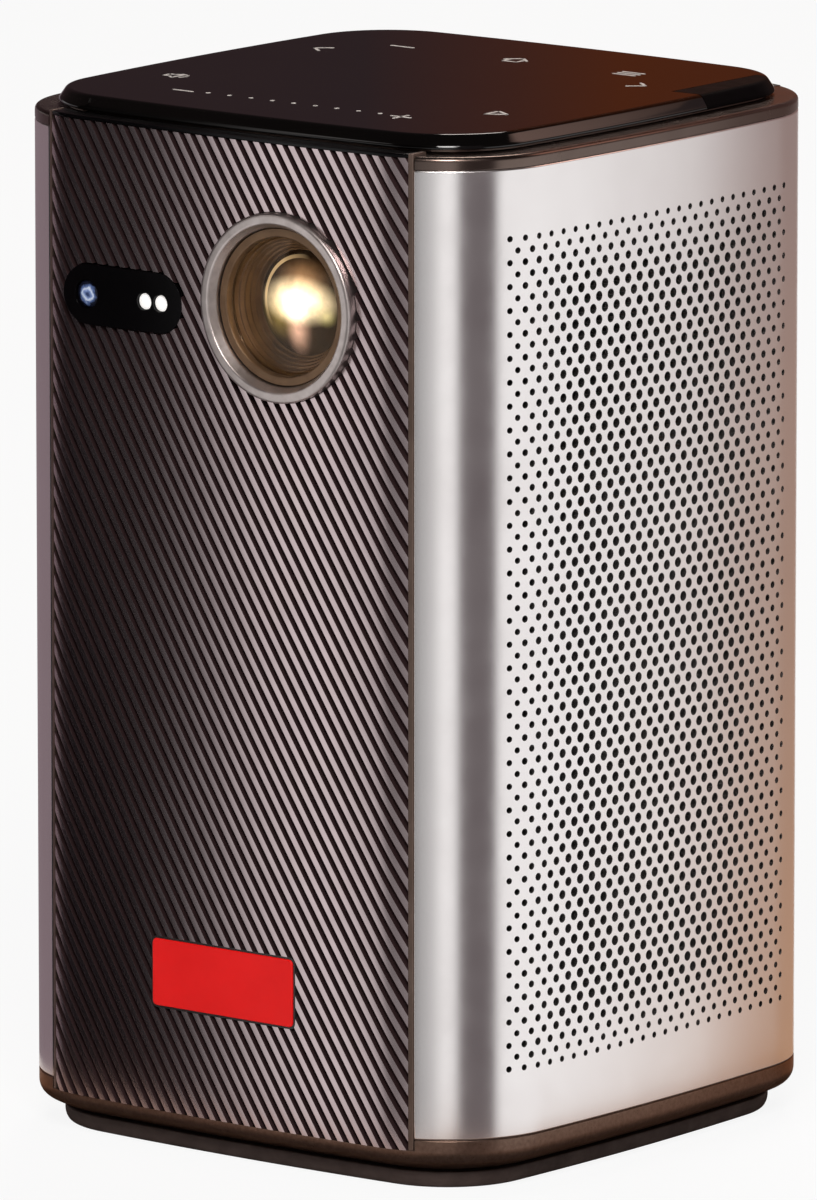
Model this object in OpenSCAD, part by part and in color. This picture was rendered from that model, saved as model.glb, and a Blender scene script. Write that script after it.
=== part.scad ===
// Tower projector: a square, round-cornered body with bowed faces, perforated aluminium sides,
// a diagonally ribbed front with the lens, a glass touch top and a black base on a rubber foot.
// Millimetres, +Z up, front towards -Y, origin at the centre of the underside.

/* [Body] */
// Width and depth of the body, measured at the middle of each face
body_w = 86; // [80:1:100]
// Overall height, from the table to the glass top
body_h = 145; // [135:1:170]
// Radius of the four upright corners
corner_r = 17; // [13:0.5:22]
// Radius of the slight bow of each face
face_bow_r = 457; // [250:1:1200]
// Wall of the aluminium side shells
shell_wall = 1.2; // [0.8:0.1:1.6]
// Height of the shells' lower edge above the table
shell_z = 7.5; // [7:0.1:9]

/* [Perforation] */
// Spacing of the holes along a row of the side shells, coarser than in the real sheet
hole_pitch = 3.75; // [3:0.05:6]
// Spacing of the rows, which are staggered by half a pitch
hole_row = 2.45; // [2:0.05:4]
// Diameter of a hole
hole_d = 2; // [1:0.1:2.4]
// How far the rows reach each way from the middle of the face, measured around the outline
hole_reach = 30; // [20:0.5:32]
// Plain border above and below the holes
hole_border = 9.5; // [5:0.5:20]

/* [Top] */
// Height of the black rim above the shells
rim_h = 1.8; // [1.2:0.1:3]
// Width of the rim, from the outline inwards
rim_w = 12; // [11:0.5:13]
// Shadow gap between the rim and the glass
shadow_gap = 0.5; // [0.3:0.1:1]
// Inset of the neck that carries the glass
neck_inset = 4.4; // [3:0.1:5]
// Thickness of the glass touch plate
plate_t = 2; // [1.2:0.1:3]
// Inset of the glass at its lower edge
plate_inset = 3.3; // [2:0.1:4]
// Further inset of the glass across its bevel
plate_bevel = 1.1; // [0.5:0.1:2]
// Upright part of the glass edge, below the bevel
plate_edge = 0.4; // [0.2:0.1:0.8]
// Thickness of the printed boards
board_t = 1.6; // [1:0.1:2]
// Length of the infrared window along the right edge of the glass
ir_len = 19; // [10:0.5:22]
// Depth of the infrared window, from the outline inwards
ir_depth = 9.5; // [7:0.5:10]
// Place of the infrared window behind the middle of the right edge
ir_y = 23.5; // [12:0.5:24]

/* [Base] */
// Height of the rubber foot
foot_h = 2; // [1:0.1:3]
// Inset of the rubber foot
foot_inset = 4.7; // [3:0.1:6]
// Width of the rubber foot
foot_w = 9.3; // [6:0.1:12]
// Height of the shadow groove above the foot
groove_h = 0.9; // [0.5:0.1:1.2]
// Inset of the shadow groove
groove_inset = 5.6; // [5:0.1:7]
// Height of the lip under the base chamfer
lip_h = 0.4; // [0.2:0.1:0.6]
// Inset of the lip and width of the base chamfer
lip_inset = 3; // [2:0.1:4]
// Height of the flush black band above the chamfer
band_h = 3.1; // [2:0.1:3.6]
// Thickness of the base floor
floor_t = 4; // [3:0.1:4.4]
// Wall of the base around the chassis
base_wall = 3.4; // [3:0.1:5]
// Radius of the tripod thread's wall (quarter inch, 20 turns per inch)
tripod_r = 2.6; // [2.4:0.05:3.2]
// Depth of the tripod thread
tripod_depth = 5; // [4:0.1:5.2]
// Outer radius of the brass tripod insert
insert_r = 4.5; // [4:0.1:6]
// Wall of the base around the tripod insert
insert_boss_wall = 2; // [1.2:0.1:3]

/* [Front panel] */
// Width of the ribbed front panel
panel_w = 62; // [58:0.5:64]
// How far the panel stands above the shells
panel_over = 2.2; // [1.8:0.1:2.6]
// How far the panel reaches below the shells
panel_under = 1.5; // [0.8:0.1:1.9]
// Thickness of the panel behind the ribs
panel_t = 1.7; // [1.2:0.1:2.2]
// Height of the ribs
rib_h = 0.9; // [0.5:0.1:1.2]
// Distance from rib to rib, square to the ribs
rib_pitch = 1.69; // [1.4:0.01:3]
// Width of a rib
rib_w = 0.85; // [0.5:0.05:1.2]
// Lean of the ribs from upright
rib_lean = 32.3; // [20:0.1:45]
// Width of the trim strip at each side of the panel
trim_w = 0.7; // [0.4:0.1:1]
// Width of the red badge plate
badge_w = 24.6; // [16:0.1:30]
// Height of the red badge plate
badge_h = 9.4; // [6:0.1:12]
// Thickness of the badge plate
badge_t = 1.4; // [1:0.1:1.8]
// Height of the badge's middle above the table
badge_z = 25.5; // [18:0.5:40]

/* [Lens] */
// Lens axis to the right of the middle
lens_x = 10; // [6:0.5:12]
// Lens axis below the glass top
lens_drop = 25; // [24:0.5:28]
// Outer radius of the lens bezel
bezel_r = 13; // [12.6:0.1:14]
// Width of the bezel ring
bezel_w = 2; // [1.6:0.1:2.2]
// Length of the bezel along the axis
bezel_len = 3; // [2.5:0.1:4]
// How far the bezel and the power button stand out of the faces
proud = 1; // [0.5:0.1:2]
// Dark gap around the bezel
bezel_gap = 0.7; // [0.3:0.1:1]
// Outer radius of the sliding focus barrel
barrel_r = 10.5; // [9:0.1:10.8]
// Wall of the focus barrel
barrel_wall = 2; // [1.5:0.1:2.5]
// Setback of the barrel's front edge behind the bezel face
barrel_setback = 1.7; // [1.4:0.1:3]
// Length of the focus barrel
barrel_len = 30; // [26:0.5:31]
// Wall of the fixed lens sleeve
sleeve_wall = 1.9; // [1.4:0.1:2]
// Focus travel to each side of the rest position
focus_travel = 1; // [0.5:0.1:1.2]
// Distance of the focus screw below the lens axis
screw_drop = 17; // [16.6:0.1:17.5]
// Radius of the focus screw
lead_r = 1.5; // [1:0.1:2]
// Radius of the focus motor
motor_r = 4; // [3.4:0.1:4.4]
// Length of the focus motor
motor_len = 12; // [8:0.5:13]
// Width of the nut arm and of the screw's front ear
arm_w = 6; // [5:0.1:7]
// Length of the nut arm along the axis
arm_len = 4; // [3:0.1:5]
// Nut arm behind the barrel's front edge
arm_setback = 14; // [12.5:0.1:15]
// Length of the screw's front ear along the axis
ear_len = 3; // [2:0.1:4]
// Front ear behind the barrel's front edge
ear_setback = 6; // [5:0.1:7]
// How far the focus screw reaches into the motor
screw_seat = 2.6; // [2:0.1:4]
// Upright edge of the two lenses
glass_edge = 2.5; // [1.5:0.1:3]
// Bulge of the two lenses
glass_bulge = 1.4; // [0.8:0.1:1.6]
// Front lens edge behind the barrel's front edge
front_glass_setback = 1; // [0.9:0.1:1.5]
// Rear lens edge ahead of the barrel's rear edge
rear_glass_setback = 5; // [4:0.1:8]

/* [Sensor window] */
// Width of the sensor window
window_w = 20.8; // [16:0.1:22]
// Height of the sensor window
window_h = 8.3; // [6:0.1:9]
// Sensor window to the left of the middle
window_x = 17.4; // [16:0.1:18]
// Sensor window below the lens axis
window_drop = 1.6; // [0:0.1:4]
// Thickness of the sensor window
window_t = 2.4; // [1.8:0.1:2.6]
// Radius of the camera lens
camera_r = 1.85; // [1.2:0.05:2.5]
// Camera to the left of the window's middle
camera_x = 6.4; // [5:0.1:7]
// Radius of each range sensor
range_r = 1.1; // [0.6:0.05:1.3]
// Distance between the two range sensors
range_gap = 2.8; // [2.7:0.1:4]
// Range sensors to the right of the window's middle
range_x = 5.2; // [4:0.1:6]
// Width of the sensor board
sensor_board_w = 17; // [16.6:0.1:17.6]
// Setback of the window behind the middle of the front face
window_setback = 0.2; // [0:0.1:0.6]
// Setback of the camera and the range sensors behind the window's face
sensor_setback = 0.2; // [0:0.1:0.6]
// Depth of the sensor board behind the front face
sensor_depth = 7; // [6:0.1:10]

/* [Light engine] */
// Distance from the front face to the light engine
engine_setback = 35; // [34:0.5:36]
// Depth of the light engine
engine_d = 24; // [23.5:0.1:26]
// Width of the light engine to the left of the lens axis
engine_left = 32; // [31:0.5:34]
// Width of the light engine to the right of the lens axis
engine_right = 14; // [13:0.5:15]
// Height of the light engine below the lens axis
engine_below = 22; // [21.6:0.1:24]
// Height of the light engine above the lens axis
engine_above = 16; // [15.5:0.1:16.5]
// Wall of the light engine
engine_wall = 2; // [1.5:0.1:2.2]
// Edge length of the prism in front of the mirror chip
prism_a = 14; // [10:0.5:14.5]
// Edge length of the dichroic cube
cube_a = 10; // [8:0.5:10.5]
// Dichroic cube to the left of the lens axis
cube_x = 18; // [17.5:0.1:19]
// Edge length of each lamp board
lamp_a = 9; // [6:0.5:10]
// Thickness of each lamp board
lamp_t = 1.2; // [0.8:0.1:1.4]
// Edge length of each lamp's emitter
emitter_a = 3; // [1:0.1:4]
// Height of each lamp's emitter
emitter_t = 0.5; // [0.2:0.1:0.7]
// Width of the mirror chip
chip_w = 14; // [10:0.5:16]
// Height of the mirror chip
chip_h = 10; // [8:0.5:12]
// Thickness of the mirror chip's board
chip_board_t = 1.2; // [0.8:0.1:1.6]
// Margin of the mirror chip's board around the chip
chip_margin = 2; // [1:0.1:2.5]
// Radius of the condenser lenses
condenser_r = 4; // [3:0.1:4.5]
// Thickness of the condenser lenses
condenser_t = 2; // [1.5:0.1:2.2]

/* [Cooling] */
// Margin of the heat sink inside the light engine's rear face
sink_margin = 2; // [1:0.1:4]
// Thickness of the heat sink's base
sink_base_t = 5.4; // [5.3:0.1:6]
// Thickness of a heat sink fin
fin_t = 1; // [0.6:0.1:1.4]
// Number of heat sink fins
fin_count = 14; // [8:1:16]
// Radius of the heat pipes
pipe_r = 2; // [1.5:0.1:2.4]
// Height of the heat pipes above and below the lens axis
pipe_rise = 8; // [5:0.5:12]
// Gap between the heat sink's fins and the fan
fin_gap = 1; // [0.5:0.1:1.5]
// Edge length of the fan
fan_a = 40; // [36:0.5:40.5]
// Thickness of the fan
fan_t = 10; // [9.5:0.1:11]
// Fan axis below the lens axis
fan_drop = 4; // [3:0.1:4.5]
// Radius of the fan's hub
hub_r = 8; // [7.4:0.1:9]
// Radius of the fan's shaft
shaft_r = 1; // [0.8:0.05:1.2]
// Inset of the fan's corner holes from its edges
fan_hole_inset = 4; // [3.4:0.1:4.2]
// Wall of the fan's hub, frame and bearing
fan_wall = 1.2; // [1:0.1:1.4]
// Free length before and behind the fan's rotor
rotor_gap = 0.8; // [0.5:0.1:1]
// Half width of the struts that hold the fan's motor
strut_half = 1; // [0.6:0.1:1.5]
// Number of fan blades
blade_count = 9; // [5:1:11]
// Thickness of a fan blade
blade_t = 0.9; // [0.6:0.1:1.2]
// Pitch of the fan blades
blade_pitch = 38; // [25:1:50]
// Length of the posts that carry the fan on the rear panel
fan_post_len = 2.4; // [1.5:0.1:4]
// Pitch of the rear vent slots
vent_pitch = 4; // [3:0.1:5]
// Height of a rear vent slot
vent_h = 2; // [1:0.1:2.4]
// Length of the rear vent slots
vent_len = 42; // [30:0.5:44]

/* [Chassis] */
// Edge length of the corner posts
post_w = 9; // [8:0.1:9.5]
// Inset of the posts' middle from the faces
post_inset = 12; // [11.8:0.1:12.5]
// Thickness of the tray, the top frame and the shelf
sheet_t = 2; // [1.5:0.1:2.4]
// Width of the chassis top frame
frame_w = 11; // [9:0.5:12]
// Distance of the speaker baffles from the faces
baffle_inset = 9; // [8.5:0.1:10]
// Height of the bars that carry the boards
bar_h = 4; // [3:0.1:5]
// Thickness of the bars that carry the boards
bar_t = 3; // [2:0.1:4]
// Radius of the case screws
screw_r = 1.25; // [1:0.05:1.3]
// Length of the case screws
screw_len = 12; // [11:0.1:13]
// Radius of the case screws' heads
head_r = 2.2; // [1.8:0.1:2.4]
// Height of the case screws' heads
head_h = 1.4; // [1:0.1:1.5]
// Radius of the panels' screw bosses
boss_r = 2.4; // [2.2:0.1:2.6]
// Height of the lower panel screws
low_screw_z = 24; // [20:0.5:28]
// Distance of the upper panel screws below the shells' top
high_screw_drop = 12; // [10:0.5:14]

/* [Speakers] */
// Radius of the speakers' flange
speaker_r = 22; // [20:0.5:23]
// Width of the speakers' flange
flange_w = 4.6; // [4:0.1:5]
// Radius of the moving cone
cone_r = 14.9; // [13:0.1:15]
// Thickness of the cone
cone_t = 0.6; // [0.4:0.1:1]
// Radius of the voice coil
coil_r = 5; // [4:0.1:6]
// Radius of the magnet
magnet_r = 11; // [10:0.1:12]
// Thickness of the magnet
magnet_t = 4.6; // [4:0.1:5]
// Free gap behind each magnet
magnet_gap = 1; // [0.3:0.1:1.5]
// Thickness of the speakers' surround and basket
surround_t = 0.8; // [0.6:0.1:1]
// Cone travel to each side of the rest position
cone_travel = 0.5; // [0.2:0.1:0.6]

/* [Battery and boards] */
// Diameter of a battery cell
cell_d = 18.4; // [16:0.1:18.6]
// Length of a battery cell
cell_len = 65; // [60:0.5:66]
// Wall of the battery holder
holder_wall = 1.5; // [1:0.1:1.6]
// Width of the main board and the power board
board_w = 46; // [40:0.5:48]
// Free height below the boards, to the tray, and above them, to the shelf
board_lift = 4; // [2:0.5:5]
// Distance of the bars from the boards' upper and lower edges
bar_margin = 2; // [1:0.1:3]
// Setback of the boards behind the posts' inner faces
board_setback = 0.5; // [0.2:0.1:1]
// Edge length of the processor's shield
shield_a = 24; // [16:0.5:30]
// Height of the processor's shield
shield_t = 2; // [1:0.1:2.5]
// Radius of the power board's coils
coil_core_r = 4.5; // [3:0.1:6]
// Height of the power board's coils
coil_core_h = 3.5; // [2:0.1:4]
// Distance between the power board's coils
coil_core_step = 14; // [13:0.5:17]

/* [Rear connections] */
// Radius of the power button
button_r = 5; // [4:0.1:6]
// Travel of the power button
button_travel = 0.8; // [0.4:0.1:0.9]
// Width of the flange that keeps the button in
button_flange = 1.2; // [0.8:0.1:2]
// Radius of the button's stem
stem_r = 2; // [1.5:0.1:3]
// Depth of the button's guide behind the rear panel
guide_depth = 0.5; // [0.3:0.1:1]
// Edge length of the switch behind the button
switch_a = 6; // [4:0.1:7]
// Height of the switch's body
switch_h = 3.2; // [2:0.1:4]
// Height of the switch's plunger above its body
plunger_h = 0.8; // [0.5:0.1:1.2]
// Radius of the switch's plunger
plunger_r = 1.6; // [1:0.1:2]
// Power button below the upper edge of the main board
button_drop = 12; // [11:0.5:16]
// Sideways place of the sockets, from the middle
socket_x = 11; // [10:0.5:13]
// Height of the lower pair of sockets
socket_z = 26; // [24:0.5:28]
// Height from the lower to the upper pair of sockets
socket_rise = 14; // [12:0.5:18]
// Wall of the sockets' metal shells
socket_wall = 0.5; // [0.3:0.1:0.8]
// How deep the sockets sit behind the rear face
socket_recess = 1; // [0.6:0.1:1.6]
// Radius of the 3.5 mm audio jack
audio_r = 1.8; // [1.75:0.01:1.9]
// Depth of the audio jack
audio_depth = 14; // [12:0.1:14.2]

/* [Clearances] */
// Radial clearance of running and sliding fits
running_gap = 0.05; // [0.02:0.01:0.1]
// Gap between fixed pieces that fit into each other
seat_gap = 0.15; // [0.1:0.01:0.2]
// Free gap beside moving pieces
moving_gap = 0.4; // [0.3:0.05:0.6]

/* [Hidden] */
$fn = 64;
// How far a cutting shape passes the surface that it cuts
cut = 1;
// Thickness of the layers between which a bevel is stretched
layer = 0.05;
// Straight steps along each face and each corner of the outline
face_steps = 8;
corner_steps = 10;
// Straight steps from the middle of a lens to its edge
dome_steps = 8;

// Plan outline: the corner arcs touch the bowed faces without a kink
half = body_w / 2;
bow_c = face_bow_r - half;
corner_c = (sqrt(2 * pow(face_bow_r - corner_r, 2) - pow(bow_c, 2)) - bow_c) / 2;
touch_a = atan2(corner_c, corner_c + bow_c);
degrees = 180 / PI;
face_len = face_bow_r * touch_a / degrees;

// Heights
plate_z = body_h - plate_t;
rim_top = plate_z - shadow_gap;
shell_top = rim_top - rim_h;
lip_z = foot_h + groove_h;
band_z = shell_z - band_h;
floor_z = foot_h + floor_t;
tray_top = floor_z + sheet_t;
frame_z = shell_top - sheet_t;
panel_z0 = shell_z - panel_under;
panel_z1 = shell_top + panel_over;
lens_z = body_h - lens_drop;
shelf_top = lens_z - engine_below;
shelf_z = shelf_top - sheet_t;
speaker_z = (tray_top + shelf_z) / 2;
insert_top = foot_h + tripod_depth + seat_gap;

// Panels and chassis
panel_half = panel_w / 2;
panel_d = panel_t + rib_h;
shell_x = panel_half + trim_w;
post_c = half - post_inset;
post_in = post_c - post_w / 2;
post_out = post_c + post_w / 2;
boss_x = panel_half - boss_r - seat_gap;
panel_sag = face_bow_r - sqrt(pow(face_bow_r, 2) - pow(panel_half, 2));
hole_r = screw_r + running_gap;
panel_screw_zs = [low_screw_z, shell_top - high_screw_drop];
baffle_x = half - baffle_inset;
board_z0 = tray_top + board_lift;
board_z1 = shelf_z - board_lift;
bar_zs = [board_z0 + bar_margin, board_z1 - bar_margin - bar_h];
board_y = post_in + board_setback;
button_z = board_z1 - button_drop;
holder_half = cell_d + seat_gap + holder_wall;

// Lens group, measured along Y
bezel_front = -half - proud;
bezel_back = bezel_front + bezel_len;
barrel_front = bezel_front + barrel_setback;
barrel_back = barrel_front + barrel_len;
barrel_in = barrel_r - barrel_wall;
sleeve_in = barrel_r + running_gap;
sleeve_r = sleeve_in + sleeve_wall;
glass_r = barrel_in + barrel_wall / 2;
screw_z = lens_z - screw_drop;
arm_y = barrel_front + arm_setback;
ear_y = barrel_front + ear_setback;
front_glass_y = barrel_front + front_glass_setback;
rear_glass_y = barrel_back - rear_glass_setback;

// Sensors, measured along Y
sensor_front = -half + window_setback + sensor_setback;

// Light engine
engine_y0 = -half + engine_setback;
engine_y1 = engine_y0 + engine_d;
engine_x0 = lens_x - engine_left;
engine_x1 = lens_x + engine_right;
engine_z1 = lens_z + engine_above;
inner_x0 = engine_x0 + engine_wall;
inner_y0 = engine_y0 + engine_wall;
inner_y1 = engine_y1 - engine_wall;
engine_y = (engine_y0 + engine_y1) / 2;
engine_floor = shelf_top + engine_wall;
cube_c = lens_x - cube_x;
motor_front = engine_y0 - motor_len;

// Cooling
fan_rear = half - panel_d - fan_post_len;
fan_front = fan_rear - fan_t;
fan_z = lens_z - fan_drop;
fan_bore_r = fan_a / 2 - fan_wall;
fan_hole = fan_a / 2 - fan_hole_inset;
bearing_r = shaft_r + fan_wall;
rotor_front = fan_front + rotor_gap;
rotor_rear = fan_rear - fan_wall - rotor_gap;
blade_tip_r = fan_bore_r - moving_gap;
fan_screw_tip = half - panel_d / 2 - panel_sag;
sink_y = engine_y1 + sink_base_t;
sink_x = engine_x0 + sink_margin;
sink_w = engine_x1 - sink_margin - sink_x;
sink_z0 = shelf_top + seat_gap;
sink_z1 = engine_z1 - sink_margin;
fin_tip = fan_front - fin_gap;
pipe_y = engine_y1 + sink_base_t / 2;

// Speakers, measured along X for the right one
flange_x = baffle_x + sheet_t;
magnet_x = holder_half + magnet_gap;
magnet_front = magnet_x + magnet_t;
cone_rim_x = flange_x + surround_t;

// Sockets: mouths and tongues of the standard connectors, as width and height
socket_mouth = half - socket_recess;
hdmi_mouth = [14, 4.6];
hdmi_tongue = [11, 1.2];
usb_mouth = [12.6, 5.2];
usb_tongue = [11.2, 1.9];
power_mouth = [8.4, 2.6];
power_tongue = [6.6, 0.7];
socket_depth = 10;
power_depth = 6.5;
tongue_setback = 1.5;
jack_body_a = 8;
jack_nose_r = 3.2;
board_back = board_y + board_t;

// Plan outline, inset from the faces

function arc(c, r, a0, a1, first, last, steps) =
    [for (i = [first : last])
        let (a = a0 + (a1 - a0) * i / steps)
        c + r * [cos(a), sin(a)]];

function quarter(inset) = concat(
    arc([-bow_c, 0], face_bow_r - inset, -touch_a, touch_a, 0, face_steps, face_steps),
    arc([corner_c, corner_c], corner_r - inset, touch_a, 90 - touch_a,
        1, corner_steps - 1, corner_steps));

function turned(p, quarters) = quarters == 0 ? p : turned([-p[1], p[0]], quarters - 1);

function outline(inset) = [for (q = [0 : 3]) for (p = quarter(inset)) turned(p, q)];

// Turn of the right face's outline at an arc length from its middle, and the point there

function side_turn(s) =
    abs(s) <= face_len
        ? s / face_bow_r * degrees
        : sign(s) * (touch_a + (abs(s) - face_len) / corner_r * degrees);

function side_point(s) =
    let (a = side_turn(s))
    abs(s) <= face_len
        ? [face_bow_r * cos(a) - bow_c, face_bow_r * sin(a)]
        : [corner_c + corner_r * cos(a), sign(s) * corner_c + corner_r * sin(a)];

// Shared shapes

module box(low, high) {
    translate(low) cube(high - low);
}

module rod_x(r, x0, x1) {
    translate([x0, 0, 0]) rotate([0, 90, 0]) cylinder(r = r, h = x1 - x0);
}

module rod_y(r, y0, y1) {
    translate([0, y0, 0]) rotate([-90, 0, 0]) cylinder(r = r, h = y1 - y0);
}

module rod_z(r, z0, z1) {
    translate([0, 0, z0]) cylinder(r = r, h = z1 - z0);
}

module square_bar_y(a, y0, y1) {
    box([-a / 2, y0, -a / 2], [a / 2, y1, a / 2]);
}

module pill_y(w, h, y0, y1) {
    for (s = [-1, 1])
        translate([s * (w - h) / 2, 0, 0]) rod_y(h / 2, y0, y1);
    box([-(w - h) / 2, y0, -h / 2], [(w - h) / 2, y1, h / 2]);
}

module slab(inset, z0, z1) {
    translate([0, 0, z0]) linear_extrude(z1 - z0) polygon(outline(inset));
}

module ring(inset0, inset1, z0, z1) {
    difference() {
        slab(inset0, z0, z1);
        slab(inset1, z0 - cut, z1 + cut);
    }
}

module front_zone(x0, x1, z0, z1) {
    box([x0, -half - cut, z0], [x1, -half / 2, z1]);
}

module rear_zone(x0, x1, z0, z1) {
    box([x0, half / 2, z0], [x1, half + cut, z1]);
}

// Room for the front and rear panels where they pass the rim and the base
module panel_pockets(z0, z1) {
    reach = shell_x + seat_gap;
    difference() {
        union() {
            front_zone(-reach, reach, z0, z1);
            rear_zone(-reach, reach, z0, z1);
        }
        slab(panel_d + seat_gap, z0 - cut, z1 + cut);
    }
}

module at_posts() {
    for (x = [-post_c, post_c], y = [-post_c, post_c])
        translate([x, y, 0]) children();
}

module at_panel_screws() {
    for (x = [-boss_x, boss_x], z = panel_screw_zs)
        translate([x, 0, z]) children();
}

module at_lens() {
    translate([lens_x, 0, lens_z]) children();
}

module at_focus_screw() {
    translate([lens_x, 0, screw_z]) children();
}

module at_fan() {
    translate([0, 0, fan_z]) children();
}

module at_fan_corners() {
    for (x = [-fan_hole, fan_hole], z = [-fan_hole, fan_hole])
        translate([x, 0, fan_z + z]) children();
}

module at_window() {
    translate([-window_x, 0, lens_z - window_drop]) children();
}

module at_camera() {
    at_window() translate([-camera_x, 0, 0]) children();
}

module at_range_sensors() {
    at_window()
        for (s = [-1, 1])
            translate([range_x + s * range_gap / 2, 0, 0]) children();
}

// Side shells: perforated aluminium walls from the front trim around to the rear panel

module side_holes() {
    rows = floor((shell_top - shell_z - 2 * hole_border) / hole_row);
    columns = floor(2 * hole_reach / hole_pitch);
    middle = (shell_z + shell_top) / 2;
    for (row = [0 : rows], column = [0 : columns - row % 2]) {
        s = (column - (columns - row % 2) / 2) * hole_pitch;
        z = middle + (row - rows / 2) * hole_row;
        translate(concat(side_point(s), z)) rotate(side_turn(s))
            rod_x(hole_d / 2, -shell_wall - cut, cut);
    }
}

module right_side_shell() {
    color("#c9beb8")
        difference() {
            intersection() {
                ring(0, shell_wall, shell_z, shell_top);
                box([shell_x, -half - cut, 0], [half + cut, half + cut, body_h]);
            }
            side_holes();
        }
}

module left_side_shell() {
    color("#c9beb8") mirror([1, 0, 0]) right_side_shell();
}

// Front panel: ribbed sheet with the lens, sensor and badge openings

module rib_grooves() {
    panel_mid = (panel_z0 + panel_z1) / 2;
    panel_h = panel_z1 - panel_z0;
    count = ceil((panel_half * cos(rib_lean) + panel_h / 2 * sin(rib_lean)) / rib_pitch);
    difference() {
        for (i = [-count : count])
            translate([0, -half, panel_mid])
                rotate([0, -rib_lean, 0])
                    translate([i * rib_pitch, 0, 0])
                        cube([rib_pitch - rib_w, 2 * panel_d + 2 * cut, panel_w + panel_h], center = true);
        slab(rib_h, panel_z0 - cut, panel_z1 + cut);
    }
}

module front_panel() {
    color("#2b2624")
        difference() {
            union() {
                intersection() {
                    ring(0, panel_d, panel_z0, panel_z1);
                    front_zone(-panel_half, panel_half, 0, body_h);
                }
                at_panel_screws() rod_y(boss_r, -half + panel_d / 2 + panel_sag, -post_out);
            }
            rib_grooves();
            at_lens() rod_y(bezel_r + bezel_gap, -half - cut, -half + 2 * panel_d);
            at_window() window_shape(seat_gap, -half - cut, -half + 2 * panel_d);
            badge_block(seat_gap, -half - cut, -half + badge_t);
            at_panel_screws() rod_y(hole_r, -post_in - screw_len - seat_gap, -post_out + cut);
        }
}

// Trim strips: thin bright lines between the panel and the shells

module right_trim_strip() {
    color("#7a5f50")
        intersection() {
            ring(0, panel_d, panel_z0, panel_z1);
            front_zone(panel_half, shell_x, 0, body_h);
        }
}

module left_trim_strip() {
    color("#7a5f50") mirror([1, 0, 0]) right_trim_strip();
}

// Rear panel: vents, button guide and socket openings

module vent_slots() {
    count = floor((fan_a - vent_h) / vent_pitch);
    for (i = [0 : count])
        translate([0, 0, fan_z + (i - count / 2) * vent_pitch])
            box([-vent_len / 2, half / 2, -vent_h / 2], [vent_len / 2, half + cut, vent_h / 2]);
}

module rear_panel() {
    edge = shell_x - seat_gap;
    color("#1d1b1a")
        difference() {
            union() {
                difference() {
                    intersection() {
                        ring(0, panel_d, panel_z0, panel_z1);
                        rear_zone(-edge, edge, 0, body_h);
                    }
                    vent_slots();
                }
                at_fan_corners() rod_y(boss_r, fan_rear, half - panel_d / 2);
                at_panel_screws() rod_y(boss_r, post_out, half - panel_d / 2 - panel_sag);
                translate([0, 0, button_z])
                    rod_y(button_r + button_flange, half - panel_d - guide_depth, half - panel_d / 2);
            }
            translate([0, 0, button_z]) rod_y(button_r + running_gap, half / 2, half + cut);
            at_panel_screws() rod_y(hole_r, post_out - cut, half + cut);
            at_panel_screws() rod_y(head_r + seat_gap, half - panel_d, half + cut);
            at_fan_corners() rod_y(hole_r, fan_rear - cut, fan_screw_tip + seat_gap);
            socket_openings();
        }
}

// Top: rim, glass, infrared window and touch board

module top_rim() {
    color("#211a17")
        difference() {
            union() {
                ring(0, rim_w, shell_top, rim_top);
                ring(neck_inset, rim_w, rim_top, plate_z);
            }
            panel_pockets(shell_top - cut, plate_z + cut);
            at_posts() rod_z(hole_r, shell_top - cut, plate_z + cut);
            at_posts() rod_z(head_r + seat_gap, plate_z - head_h - seat_gap, plate_z + cut);
        }
}

module glass_blank() {
    hull() {
        slab(plate_inset, plate_z, plate_z + plate_edge);
        slab(plate_inset + plate_bevel, body_h - layer, body_h);
    }
}

module ir_block(gap) {
    box([half - ir_depth - gap, ir_y - ir_len / 2 - gap, plate_z - cut],
        [half, ir_y + ir_len / 2 + gap, body_h + cut]);
}

module touch_plate() {
    color("#17130f")
        difference() {
            glass_blank();
            ir_block(seat_gap);
        }
}

module ir_window() {
    color("#0c0708")
        intersection() {
            glass_blank();
            ir_block(0);
        }
}

module touch_board() {
    color("#1f5b3a") slab(rim_w + seat_gap, plate_z - board_t, plate_z);
}

// Base: chamfered frame, rubber foot and tripod insert

module base_frame() {
    boss = insert_r + insert_boss_wall;
    color("#1b1715")
        difference() {
            union() {
                difference() {
                    union() {
                        slab(groove_inset, foot_h, lip_z);
                        hull() {
                            slab(lip_inset, lip_z, lip_z + lip_h);
                            slab(0, band_z, band_z + layer);
                        }
                        slab(0, band_z, shell_z);
                    }
                    slab(base_wall, floor_z, shell_z + cut);
                }
                rod_z(boss, foot_h, tray_top);
            }
            panel_pockets(panel_z0, shell_z + cut);
            rod_z(insert_r + running_gap, foot_h - cut, insert_top);
            at_posts() rod_z(hole_r, foot_h - cut, floor_z + cut);
            at_posts() rod_z(head_r + seat_gap, foot_h - cut, foot_h + head_h + seat_gap);
        }
}

module rubber_foot() {
    color("#151413") ring(foot_inset, foot_inset + foot_w, 0, foot_h);
}

module tripod_insert() {
    color("#b08d4a")
        difference() {
            rod_z(insert_r, foot_h, insert_top);
            rod_z(tripod_r, foot_h - cut, foot_h + tripod_depth);
        }
}

// Lens: bezel, sleeve, focus barrel, its two lenses and its drive

module lens_bezel() {
    color("#d8d2cd")
        at_lens() difference() {
            rod_y(bezel_r, bezel_front, bezel_back);
            rod_y(bezel_r - bezel_w, bezel_front - cut, bezel_back + cut);
        }
}

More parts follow.
